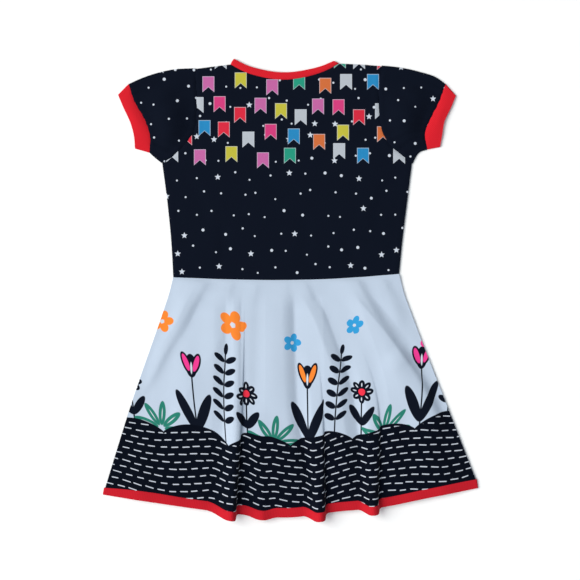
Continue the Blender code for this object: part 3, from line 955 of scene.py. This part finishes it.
bodice = {
    "sideLeft": [(-162.0, 150.0), (-156.0, 105.0), (-150.0, 45.0), (-147.5, 0.6)],
    "sideRight": [(162.5, 149.5), (157.0, 105.0), (149.5, 43.0), (145.8, 5.0)],
    "shoulderLeft": [(-119.5, 271.5), (-96.0, 274.5), (-72.0, 277.5)],
    "shoulderRight": [(66.5, 278.5), (100.0, 277.0), (123.5, 275.0)],
    "sideSteps": 52, "armholeSteps": 58, "shoulderSteps": 16, "neckSteps": 76,
    "loft": 1.6,            # how far the upper panel stands off the lower one in its middle
    "loftMargin": 55.0,
    "calm": 16.0,           # creases die out over this distance from the edges
    "underShare": 0.4, "underMost": 0.5,    # of the creases that the lower panel shows, and their limit
    "ripple": {"pitch": 70.0, "height": 0.5, "turn": 1.2, "seed": 4},
    "frontShift": 620.0,    # the print on the front starts this far along
    "back": {"flat": (0.325, 0.281), "area": 0.0805},
    "front": {"flat": (0.325, 0.281), "area": 0.0775},
}
bodiceCreases = [
    ((-112, 196), (-84, 178), (-52, 168), 0.7, 9, 6),
    ((116, 196), (90, 176), (60, 168), 0.6, 6, 9),
    ((-148, 142), (-118, 112), (-104, 60), 0.8, 12, 8),
    ((150, 140), (124, 108), (112, 52), 0.9, 8, 13),
    ((-64, 262), (-62, 214), (-66, 150), 0.5, 10, 14),
    ((58, 262), (60, 208), (54, 140), 0.5, 14, 10),
    ((-96, 6), (-84, 34), (-86, 84), 0.6, 9, 7),
    ((20, 4), (26, 40), (18, 96), 0.5, 10, 12),
    ((94, 6), (84, 30), (78, 70), 0.5, 7, 8),
]


def bodicePanel(neckTable, height, layerSign):
    left = joined(evenly(edgeCurve(bodice["sideLeft"], False)[::-1], bodice["sideSteps"]),
                  evenly(edgeCurve(armhole["left"], False)[::-1], bodice["armholeSteps"]))
    right = joined(evenly(edgeCurve(bodice["sideRight"], False)[::-1], bodice["sideSteps"]),
                   evenly(edgeCurve(armhole["right"], False)[::-1], bodice["armholeSteps"]))
    neckline = evenly(edgeCurve(neckTable, True), bodice["neckSteps"])
    shoulderLeft = pinned(edgeCurve(bodice["shoulderLeft"], True), left[-1], neckline[0])
    shoulderRight = pinned(edgeCurve(bodice["shoulderRight"], True), neckline[-1], right[-1])
    top = joined(evenly(shoulderLeft, bodice["shoulderSteps"]), neckline,
                 evenly(shoulderRight, bodice["shoulderSteps"]))
    bottom = pointsAt(edgeCurve(waist, True), fractionsOf(top))
    flat = patch(left, right, bottom, top)
    x, y = flat[..., 0], flat[..., 1]
    rim = np.minimum(distanceTo(joined(left, top), x, y), distanceTo(right, x, y))
    rim = np.minimum(rim, distanceTo(bottom, x, y))
    creases = creaseRelief(x, y, bodiceCreases) + ripple(x, y, **bodice["ripple"])
    calm = smoothStep(rim / bodice["calm"])
    if layerSign > 0:
        rise = smoothStep(rim / bodice["loftMargin"]) * bodice["loft"]
        relief = rise + creases * calm + rolledSeam(rim)
    else:
        relief = np.clip(-creases * bodice["underShare"] * calm, 0.0, bodice["underMost"])
    return atHeight(flat, height + relief)


def makeBodice():
    front = bodicePanel(neck["front"], layers["lower"], -1)
    layPanel("frontBodiceCloth", "front_bodice", front, -1,
             flatCut(front, bodice["frontShift"]), bodiceJersey, navyReverse)
    back = bodicePanel(neck["back"], layers["upper"], 1)
    layPanel("backBodiceCloth", "back_bodice", back, 1,
             flatCut(back, 0.0), bodiceJersey, navyReverse)
    print("bodice laid")


# Neckband

neckband = {
    "width": 9.4,
    "crown": 0.7,           # how far its middle stands up
    "peakLeft": (-67.5, 284.2),
    "peakRight": (60.0, 281.6),
    "steps": 110, "acrossSteps": 10,
    "flat": (0.010, 0.340), "area": 0.0033,
}


bandSection = {
    "from": 0.02, "reach": 0.86,    # the part of a half round that a band's section takes
    "roundness": 0.6,
    "dip": 0.5, "dipWidth": 0.08,   # at its seam
}


def bandGrid(seam, edge, steps, height):
    across = np.linspace(0.0, 1.0, steps + 1)[None, :, None]
    return atHeight((1 - across) * seam[:, None] + across * edge[:, None], height)


def bandCrown(steps, crown):
    # section of a padded band: low at its seam, full in the middle, rounded at its free edge
    t = np.linspace(0.0, 1.0, steps + 1)
    turn = math.pi * np.clip(t * bandSection["reach"] + bandSection["from"], 0, 1)
    dip = bandSection["dip"] * np.exp(-(t / bandSection["dipWidth"]) ** 2)
    return crown * np.sin(turn) ** bandSection["roundness"] - dip


def makeNeckband():
    grids = []
    for side, height, crown in (("back", layers["upper"], neckband["crown"]),
                                ("front", layers["lower"], 0.0)):
        seam = evenly(edgeCurve(neck[side], True), neckband["steps"])
        edge = pinned(shifted(seam, neckband["width"]), neckband["peakLeft"], neckband["peakRight"])
        section = bandCrown(neckband["acrossSteps"], crown) if crown else 0.0
        grids.append(bandGrid(seam, edge, neckband["acrossSteps"], height + section))
    across = np.linspace(0.0, neckband["width"], neckband["acrossSteps"] + 1)
    piece = makeTube("neckbandRib", grids[0], grids[1], across, layers["rib"], ribRed, ribRed)
    dress(piece, "neckband")
    print("neckband on")


# Sleeves and cuffs

sleeves = {
    "puff": 8.0,            # how far the upper layer stands up, as in the frame
    "alongSteps": 84, "acrossSteps": 54,
    "gathers": 9,           # small gathers at the head and at the cuff
    "gatherDepth": 0.55,
    "gatherSway": 1.3, "gatherTurn": 9.0,   # how unevenly they lie
    "headFade": 13.0, "cuffFade": 15.0,     # they die out over these distances
    "foldShare": 1 / 8,     # of the way round, in which the relief sets in from a folded edge
    "ripple": {"pitch": 40.0, "height": 0.6, "turn": 0.6, "seed": 8},
    "sheet": {"flat": (0.250, 0.092), "area": 0.0142},      # of each
    "left": {"top": [(-119.5, 271.5), (-148.0, 269.8), (-169.0, 265.2), (-190.0, 258.0), (-205.4, 251.0)],
             "under": [(-162.0, 150.0), (-170.0, 156.5), (-178.6, 164.1)]},
    "right": {"top": [(123.5, 275.0), (143.0, 273.0), (174.0, 266.4), (195.0, 259.0), (206.0, 251.0)],
              "under": [(162.5, 149.5), (168.0, 160.0), (182.5, 168.3)]},
}
sleeveCreases = {
    "left": [
        ((-126, 246), (-150, 232), (-176, 214), 1.3, 7, 11),
        ((-124, 206), (-146, 204), (-172, 198), 1.1, 6, 9),
        ((-140, 262), (-164, 252), (-192, 236), 0.8, 6, 7),
    ],
    "right": [
        ((128, 248), (152, 234), (178, 216), 1.3, 11, 7),
        ((126, 208), (148, 206), (174, 200), 1.2, 9, 6),
        ((142, 264), (166, 252), (192, 238), 0.8, 7, 6),
    ],
}
cuffs = {
    "crown": 1.5,           # as in the frame
    "padding": 0.5,
    "acrossSteps": 12,
    "section": [(0.0, 0.0), (0.5, 1.0), (1.0, 0.6)],    # share of the crown from seam to free edge
    "left": {"seam": [(-205.4, 251.0), (-198.6, 230.2), (-184.5, 205.0), (-178.0, 184.0), (-178.6, 164.1)],
             "edge": [(-219.0, 237.0), (-212.2, 221.1), (-203.0, 201.0), (-198.5, 183.0), (-197.5, 169.5)],
             "sheet": {"flat": (0.020, 0.190), "area": 0.0034}},
    "right": {"seam": [(206.0, 251.0), (198.0, 229.0), (187.5, 208.0), (180.0, 188.0), (182.5, 168.3)],
              "edge": [(219.5, 236.0), (213.2, 221.1), (205.2, 204.0), (202.0, 186.0), (199.5, 171.5)],
              "sheet": {"flat": (0.019, 0.180), "area": 0.0030}},
}


def hump(steps):
    return np.sin(np.linspace(0.0, math.pi, steps + 1)) ** 2


def makeSleeve(side):
    size = sleeves[side]
    along, across = sleeves["alongSteps"], sleeves["acrossSteps"]
    head = evenly(edgeCurve(armhole[side], False), along)
    seam = evenly(edgeCurve(cuffs[side]["seam"], False), along)
    top = pinned(edgeCurve(size["top"], True), head[0], seam[0])
    under = pinned(edgeCurve(size["under"], True), head[-1], seam[-1])
    flat = patch(head, seam, evenly(top, across), evenly(under, across))
    x, y = flat[..., 0], flat[..., 1]
    headAway = distanceTo(head, x, y)
    cuffAway = distanceTo(seam, x, y)
    puff = np.outer(hump(along), hump(across)) * sleeves["puff"]
    t = np.linspace(0.0, 1.0, along + 1)[:, None]
    fold = smoothStep(np.minimum(t, 1 - t) / sleeves["foldShare"])      # 0 at the folded edges
    sway = sleeves["gatherSway"] * np.sin(t * sleeves["gatherTurn"])
    wave = np.sin(t * 2 * math.pi * sleeves["gathers"] + sway)
    near = np.exp(-headAway / sleeves["headFade"]) + np.exp(-cuffAway / sleeves["cuffFade"])
    gathers = wave * sleeves["gatherDepth"] * near
    relief = creaseRelief(x, y, sleeveCreases[side]) + ripple(x, y, **sleeves["ripple"])
    seams = rolledSeam(headAway) + rolledSeam(cuffAway)
    upper = atHeight(flat, layers["upper"] + puff + fold * (gathers + relief) + seams * fold)
    lower = atHeight(flat, layers["lower"])
    piece = makeTube(side + "SleeveCloth", upper, lower, None, layers["jersey"], sleeveJersey, navyReverse)
    dress(piece, side + "_sleeve")
    print(side, "sleeve set in")

    steps = cuffs["acrossSteps"]
    edge = evenly(edgeCurve(cuffs[side]["edge"], False), along)
    share = readTable(cuffs["section"], np.linspace(0, 1, steps + 1), 1)
    lift = np.outer(hump(along), share) * cuffs["crown"]
    section = bandCrown(steps, cuffs["padding"])
    upper = bandGrid(seam, edge, steps, layers["upper"] + lift + fold * section)
    lower = bandGrid(seam, edge, steps, layers["lower"])
    piece = makeTube(side + "CuffRib", upper, lower, arcAcross(upper), layers["rib"], ribRed, ribRed)
    dress(piece, side + "_cuff")
    print(side, "cuff on")


# Skirt

skirt = {
    "sideLeft": [(-147.5, 0.6), (-152.5, -19.5), (-163.0, -51.0), (-201.0, -160.0), (-236.5, -273.0)],
    "sideRight": [(145.8, 5.0), (152.0, -19.5), (163.5, -51.0), (206.0, -160.0), (246.0, -262.0)],
    "hemSeam": [(-236.5, -273.0), (-195.0, -276.5), (-112.0, -289.0), (-65.0, -294.5), (0.0, -299.0),
                (69.0, -291.5), (122.0, -286.5), (180.0, -275.0), (246.0, -262.0)],
    "rows": 132,
    "sideColumns": 60,      # columns outside the flutes, at each side
    "betweenColumns": 16,   # and between two flutes
    "fluteSteps": 20,       # on each side of a flute's crest
    "loft": 4.6,            # soft loft between the folds
    "loftMargin": 50.0,
    "valleyEnd": 26.0,
    "valleyRound": 1.2,     # how round the bottom of a valley is
    "growth": 1.5,
    "waistFade": 0.08,
    "frontRows": 84, "frontColumns": 130,
    "frontHemRise": 1.5,
    "sideCalm": 22.0, "waistCalm": 9.0,     # creases die out over these distances
    "pinch": 1.2,           # the cloth is drawn down this near to a seam
    "waistPinch": 0.25, "hemPinch": 0.15,
    "hemRoll": 0.7,         # of the roll at the hem seam, against the waist's
    "clearance": 0.15,      # least gap between the two layers
    "underShare": 0.3, "underMost": 0.5,    # of the creases that the lower panel shows, and their limit
    "ripple": {"pitch": 60.0, "height": 0.7, "turn": 0.3, "seed": 5},
    "frontShift": 700.0,
    "back": {"flat": (0.540, 0.312), "area": 0.124},
    "front": {"flat": (0.484, 0.302), "area": 0.113},
}
flutes = [
    # crest, left width and right width: each at the waist, halfway and at the hem
    {"crest": (-60.0, -65.0, -71.5), "left": (19.0, 25.0, 31.0), "right": (6.0, 8.0, 6.0),
     "start": 0.1, "height": 14.0, "drop": 8.5},
    {"crest": (-34.0, -36.0, -32.0), "left": (10.0, 15.0, 22.0), "right": (10.0, 14.0, 19.0),
     "start": 0.45, "height": 3.0, "drop": 4.5, "even": True},
    {"crest": (20.0, 32.0, 43.0), "left": (10.0, 17.0, 21.0), "right": (8.0, 14.0, 7.0),
     "start": 0.3, "height": 13.0, "drop": 9.0},
    {"crest": (46.0, 101.0, 111.5), "left": (10.0, 17.0, 19.0), "right": (10.0, 15.0, 7.5),
     "start": 0.3, "height": 13.0, "drop": 8.0},
]
fluteSection = [
    # place, across, up, drop
    (-1.0, -1.0, 0.0, 0.0), (-0.75, -0.76, 0.08, 0.22), (-0.5, -0.5, 0.31, 0.60),
    (-0.25, -0.25, 0.72, 0.92), (0.0, 0.0, 1.0, 1.0), (0.2, 0.48, 0.93, 1.0),
    (0.4, 0.83, 0.72, 0.9), (0.6, 0.95, 0.41, 0.6), (0.8, 1.05, 0.13, 0.22), (1.0, 1.45, 0.0, 0.0),
]
valleys = [
    # between the broad folds; share is what each takes of the loft, and each side has its width and
    # its curve: over 1 steepest at the bottom, under 1 steepest at its outer edge
    {"line": [(-96, -4), (-115, -34), (-128, -62), (-152, -98), (-184, -158), (-204, -204)], "share": 0.9,
     "left": (14, 0.8), "right": (44, 1.0)},
    {"line": [(-79, -12), (-79.5, -90), (-82, -180), (-88, -292)], "share": 0.45,
     "left": (15, 1.5), "right": (16, 1.0)},
    {"line": [(-59, -14), (-59, -60), (-59, -110), (-60, -200)], "share": 0.45,
     "left": (9, 1.2), "right": (30, 1.0)},
    {"line": [(8.8, -12), (10.5, -80), (12, -130), (16, -190), (27, -240), (32, -292)], "share": 0.95,
     "left": (15, 1.7), "right": (36, 1.0)},
    {"line": [(27, -6), (48, -40), (63, -79), (74, -108), (84, -143), (92, -192), (99, -292)],
     "share": 0.95, "left": (16, 1.1), "right": (44, 1.0)},
    {"line": [(96, -6), (140, -58), (176, -106), (216, -166), (232, -196)], "share": 0.98,
     "left": (16, 0.8), "right": (40, 1.0)},
]
skirtCreases = [
    ((-131, 8), (-153, -24), (-176, -64), -1.4, 18, 8),
    ((-99, 12), (-142, -64), (-192, -152), -2.1, 26, 9),
    ((-62, 24), (-74, -10), (-84, -46), -0.7, 12, 6),
    ((-39, 24), (-41, -8), (-48, -44), -0.6, 12, 6),
    ((-6, 24), (-3, -10), (1, -44), -0.6, 14, 6),
    ((12, 24), (24, -12), (42, -48), -1.0, 14, 6),
    ((76, 22), (110, -42), (158, -118), -2.5, 26, 8),
    ((138, -88), (180, -152), (208, -210), -4.4, 24, 9),
    ((34, -26), (62, -96), (82, -176), -1.3, 20, 8),
    ((110, 8), (141, -28), (164, -66), -1.5, 18, 8),
    ((-34, -10), (-38, -100), (-42, -180), 0.9, 10, 14),
    ((62, -10), (98, -70), (122, -150), 0.8, 12, 14),
    ((-150, -150), (-160, -200), (-176, -262), 1.3, 12, 10),
    ((-196, -170), (-206, -214), (-216, -262), 1.0, 8, 8),
    ((-10, -190), (-12, -240), (-14, -292), -1.6, 12, 12),
    ((146, -170), (158, -220), (170, -268), 1.3, 9, 12),
    ((196, -200), (208, -226), (222, -258), 1.0, 8, 8),
]


def skirtSide(table, v):
    y = table[0][1] + (table[-1][1] - table[0][1]) * v
    return readTable([row[::-1] for row in table], y, 1)


def fluteColumns(v):
    # one row of the upper skirt: x, height and hem drop at each column
    x = [float(skirtSide(skirt["sideLeft"], v))]
    up = [0.0]
    drop = [0.0]

    def runTo(end, steps):
        x.extend(np.linspace(x[-1], end, steps + 1)[1:])
        up.extend([0.0] * steps)
        drop.extend([0.0] * steps)

    section = np.array(fluteSection)
    place = np.concatenate([np.linspace(-1, 0, skirt["fluteSteps"] + 1)[1:],
                            np.linspace(0, 1, skirt["fluteSteps"] + 1)[1:]])
    for number, flute in enumerate(flutes):
        crest, left, right = (float(readTable(list(zip((0.0, 0.5, 1.0), flute[size])), v, 1))
                              for size in ("crest", "left", "right"))
        grown = max(v - flute["start"], 0.0) / (1 - flute["start"])
        height = flute["height"] * grown ** skirt["growth"] * float(smoothStep(v / skirt["waistFade"]))
        runTo(crest - left, skirt["sideColumns"] if number == 0 else skirt["betweenColumns"])
        even = flute.get("even", False)     # its right side falls as its left one rises
        part = -abs(place) if even else place
        across = readTable(section, part, 1)
        if even:
            across = -np.sign(place) * across
        x.extend(crest + across * np.where(place < 0, left, right))
        up.extend(readTable(section, part, 2) * height)
        drop.extend(readTable(section, part, 3) * flute["drop"])
    runTo(float(skirtSide(skirt["sideRight"], v)), skirt["sideColumns"])
    return np.array(x), np.array(up), np.array(drop)


def skirtLoft(x, y, v):
    rise = (smoothStep((x - skirtSide(skirt["sideLeft"], v)) / skirt["loftMargin"])
            * smoothStep((skirtSide(skirt["sideRight"], v) - x) / skirt["loftMargin"])
            * smoothStep((waist[0][1] - y) / skirt["loftMargin"])) * skirt["loft"]
    share = 1.0
    for valley in valleys:
        along, away, side, length = beside(edgeCurve(valley["line"], False, 25), x, y)
        width = np.where(side < 0, valley["left"][0], valley["right"][0])
        curve = np.where(side < 0, valley["left"][1], valley["right"][1])
        ends = smoothStep(along / skirt["valleyEnd"]) * smoothStep((length - along) / skirt["valleyEnd"])
        near = np.hypot(away, skirt["valleyRound"]) - skirt["valleyRound"]
        share = share - valley["share"] * np.clip(1.0 - near / width, 0.0, 1.0) ** curve * ends
    return rise * np.clip(share, 0.0, 1.0)


def upperRelief(x, y):
    # creases of the upper skirt and the first stretch of the hem band, which follows them
    return creaseRelief(x, y, skirtCreases) + ripple(x, y, **skirt["ripple"])


def upperSkirt():
    seamX, _, drop = fluteColumns(1.0)
    waistX = fluteColumns(0.0)[0]
    waistY = readTable(waist, waistX, 1) + layers["tuck"]
    hemY = readTable(skirt["hemSeam"], seamX, 1) - drop - layers["tuck"]
    rows = []
    for v in np.linspace(0.0, 1.0, skirt["rows"] + 1):
        x, up, _ = fluteColumns(v)
        y = (1 - v) * waistY + v * hemY
        rows.append(np.column_stack([x, y, layers["upper"] + up + skirtLoft(x, y, v)]))
    grid = np.array(rows)
    x, y = grid[..., 0], grid[..., 1]
    sides = np.minimum(distanceTo(grid[:, 0, :2], x, y), distanceTo(grid[:, -1, :2], x, y))
    waistAway = distanceTo(grid[0, ::4, :2], x, y)
    hemAway = distanceTo(grid[-1, ::2, :2], x, y)
    calm = smoothStep(sides / skirt["sideCalm"]) * smoothStep(waistAway / skirt["waistCalm"])
    grid[..., 2] += upperRelief(x, y) * calm
    grid[..., 2] = np.maximum(grid[..., 2], layers["lower"] + layers["jersey"] + skirt["clearance"])
    for away, roll, pinch in ((waistAway, 1.0, skirt["waistPinch"]),
                              (hemAway, skirt["hemRoll"], skirt["hemPinch"])):
        seam = rolledSeam(np.maximum(away - layers["tuck"], 0.0)) * roll
        grid[..., 2] += seam - pinch * (away < skirt["pinch"])
    return grid


def skirtCut(grid, shift, drop):
    # the cut's own lengths: along the hem from the middle, and up from the hem seam
    along = arcAcross(grid)
    along = along - along[:, -1:] / 2 + shift
    down = arcDown(grid)
    up = (down[-1:] - down) * (1 - drop / down[-1:])
    return np.dstack([along, up, np.zeros(up.shape)])


def frontHemLine(table, steps):
    line = evenly(edgeCurve(table, True), steps)
    line[:, 1] += np.sin(fractionsOf(line) * math.pi) * skirt["frontHemRise"]
    return line


def makeSkirt():
    rows, columns = skirt["frontRows"], skirt["frontColumns"]
    waistLine = evenly(edgeCurve(waist, True), columns)
    hem = frontHemLine(skirt["hemSeam"], columns)
    left = pinned(evenly(edgeCurve(skirt["sideLeft"], False), rows), waistLine[0], hem[0])
    right = pinned(evenly(edgeCurve(skirt["sideRight"], False), rows), waistLine[-1], hem[-1])
    flat = patch(left, right, waistLine, hem)
    x, y = flat[..., 0], flat[..., 1]
    relief = creaseRelief(x, y, skirtCreases)
    lift = np.clip(-relief * skirt["underShare"], 0.0, skirt["underMost"])
    front = atHeight(flat, layers["lower"] + lift)
    layPanel("frontSkirtCloth", "front_skirt", front, -1,
             skirtCut(front, skirt["frontShift"], 0.0), skirtJersey, paleReverse)
    print("front skirt laid")
    back = upperSkirt()
    layPanel("backSkirtCloth", "back_skirt", back, 1,
             skirtCut(back, 0.0, fluteColumns(1.0)[2]), skirtJersey, paleReverse)
    print("back skirt laid in its flutes")


# Hem band

hemBand = {
    "edge": [(-238.0, -282.0), (-195.0, -288.5), (-112.0, -300.5), (-65.0, -306.5), (0.0, -311.0),
             (69.0, -303.0), (122.0, -298.0), (180.0, -286.5), (247.6, -273.5)],
    "flare": 1.0064,        # its free edge against its seam
    "crown": 0.5,
    "acrossSteps": 12,
    "flat": (0.012, 1.040), "area": 0.0122,
}


def makeHemBand():
    x, up, drop = fluteColumns(1.0)
    calm = smoothStep(np.minimum(x - x[0], x[-1] - x) / skirt["sideCalm"])
    lift = layers["upper"] + up + skirtLoft(x, readTable(skirt["hemSeam"], x, 1), 1.0)
    seam = np.column_stack([x, readTable(skirt["hemSeam"], x, 1) - drop])
    edgeX = np.clip(x * hemBand["flare"], hemBand["edge"][0][0], hemBand["edge"][-1][0])
    edge = np.column_stack([edgeX, readTable(hemBand["edge"], edgeX, 1) - drop])
    steps = hemBand["acrossSteps"]
    lift = lift + upperRelief(seam[:, 0], seam[:, 1]) * calm
    section = bandCrown(steps, hemBand["crown"])
    upper = bandGrid(seam, edge, steps, lift[:, None] + section * calm[:, None])
    underSeam = pinned(frontHemLine(skirt["hemSeam"], len(x) - 1), seam[0], seam[-1])
    underEdge = pinned(frontHemLine(hemBand["edge"], len(x) - 1), edge[0], edge[-1])
    lower = bandGrid(underSeam, underEdge, steps, layers["lower"])
    piece = makeTube("hemBandRib", upper, lower, arcAcross(upper), layers["rib"], hemShadedRed, hemShadedRed)
    dress(piece, "hem_band")
    print("hem band on")


makeBodice()
makeNeckband()
makeSleeve("left")
makeSleeve("right")
makeSkirt()
makeHemBand()


# Floor, light and camera

studio = {
    "frameWidth": 754.0,    # of the view, where the dress lies
    "cameraHeight": 2600.0,
    "lookAt": (-0.65, -0.33, 3.0),
    "floor": (0.95, 0.95, 0.95, 1.0),
    "worldLight": 0.24, "worldTint": (0.78, 0.89, 1.0, 1.0),
    "lights": {
        "keyLight": {"power": 1980.0, "size": 12.0, "place": (-8.4, 0.6, 8.2), "tint": (1.0, 0.985, 0.95)},
        "fillLight": {"power": 60.0, "size": 5.0, "place": (1.8, -2.4, 5.0), "tint": (0.9, 0.95, 1.0)},
    },
}


def makeFloor():
    bpy.ops.mesh.primitive_plane_add(size=8.0)
    floor = bpy.context.object
    floor.name = "studioFloor"
    material = bpy.data.materials.new("studioFloor")
    material.use_nodes = True
    shader = material.node_tree.nodes["Principled BSDF"]
    shader.inputs["Base Color"].default_value = studio["floor"]
    shader.inputs["Roughness"].default_value = 0.9
    floor.data.materials.append(material)


def makeLight(name, power, size, place, tint):
    lamp = bpy.data.lights.new(name, "AREA")
    lamp.shape = "DISK"
    lamp.energy = power
    lamp.size = size
    lamp.color = tint
    light = bpy.data.objects.new(name, lamp)
    light.location = place
    aim = np.array(place)
    tilt = math.acos(aim[2] / np.linalg.norm(aim))
    light.rotation_euler = (tilt, 0.0, math.atan2(aim[1], aim[0]) + math.pi / 2)
    bpy.context.scene.collection.objects.link(light)


def makeCamera():
    sensor = 36.0
    camera = bpy.data.cameras.new("camera")
    camera.sensor_width = sensor
    camera.lens = sensor * studio["cameraHeight"] / studio["frameWidth"]
    view = bpy.data.objects.new("camera", camera)
    x, y, z = studio["lookAt"]
    view.location = (x * mm, y * mm, (z + studio["cameraHeight"]) * mm)
    bpy.context.scene.collection.objects.link(view)
    bpy.context.scene.camera = view


makeFloor()
for name, light in studio["lights"].items():
    makeLight(name, **light)
makeCamera()
world = bpy.data.worlds.new("studioWorld")
world.use_nodes = True
sky = world.node_tree.nodes["Background"]
sky.inputs[0].default_value = studio["worldTint"]
sky.inputs[1].default_value = studio["worldLight"]
bpy.context.scene.world = world
bpy.context.scene.view_settings.view_transform = "Standard"
print("floor, light and camera set")
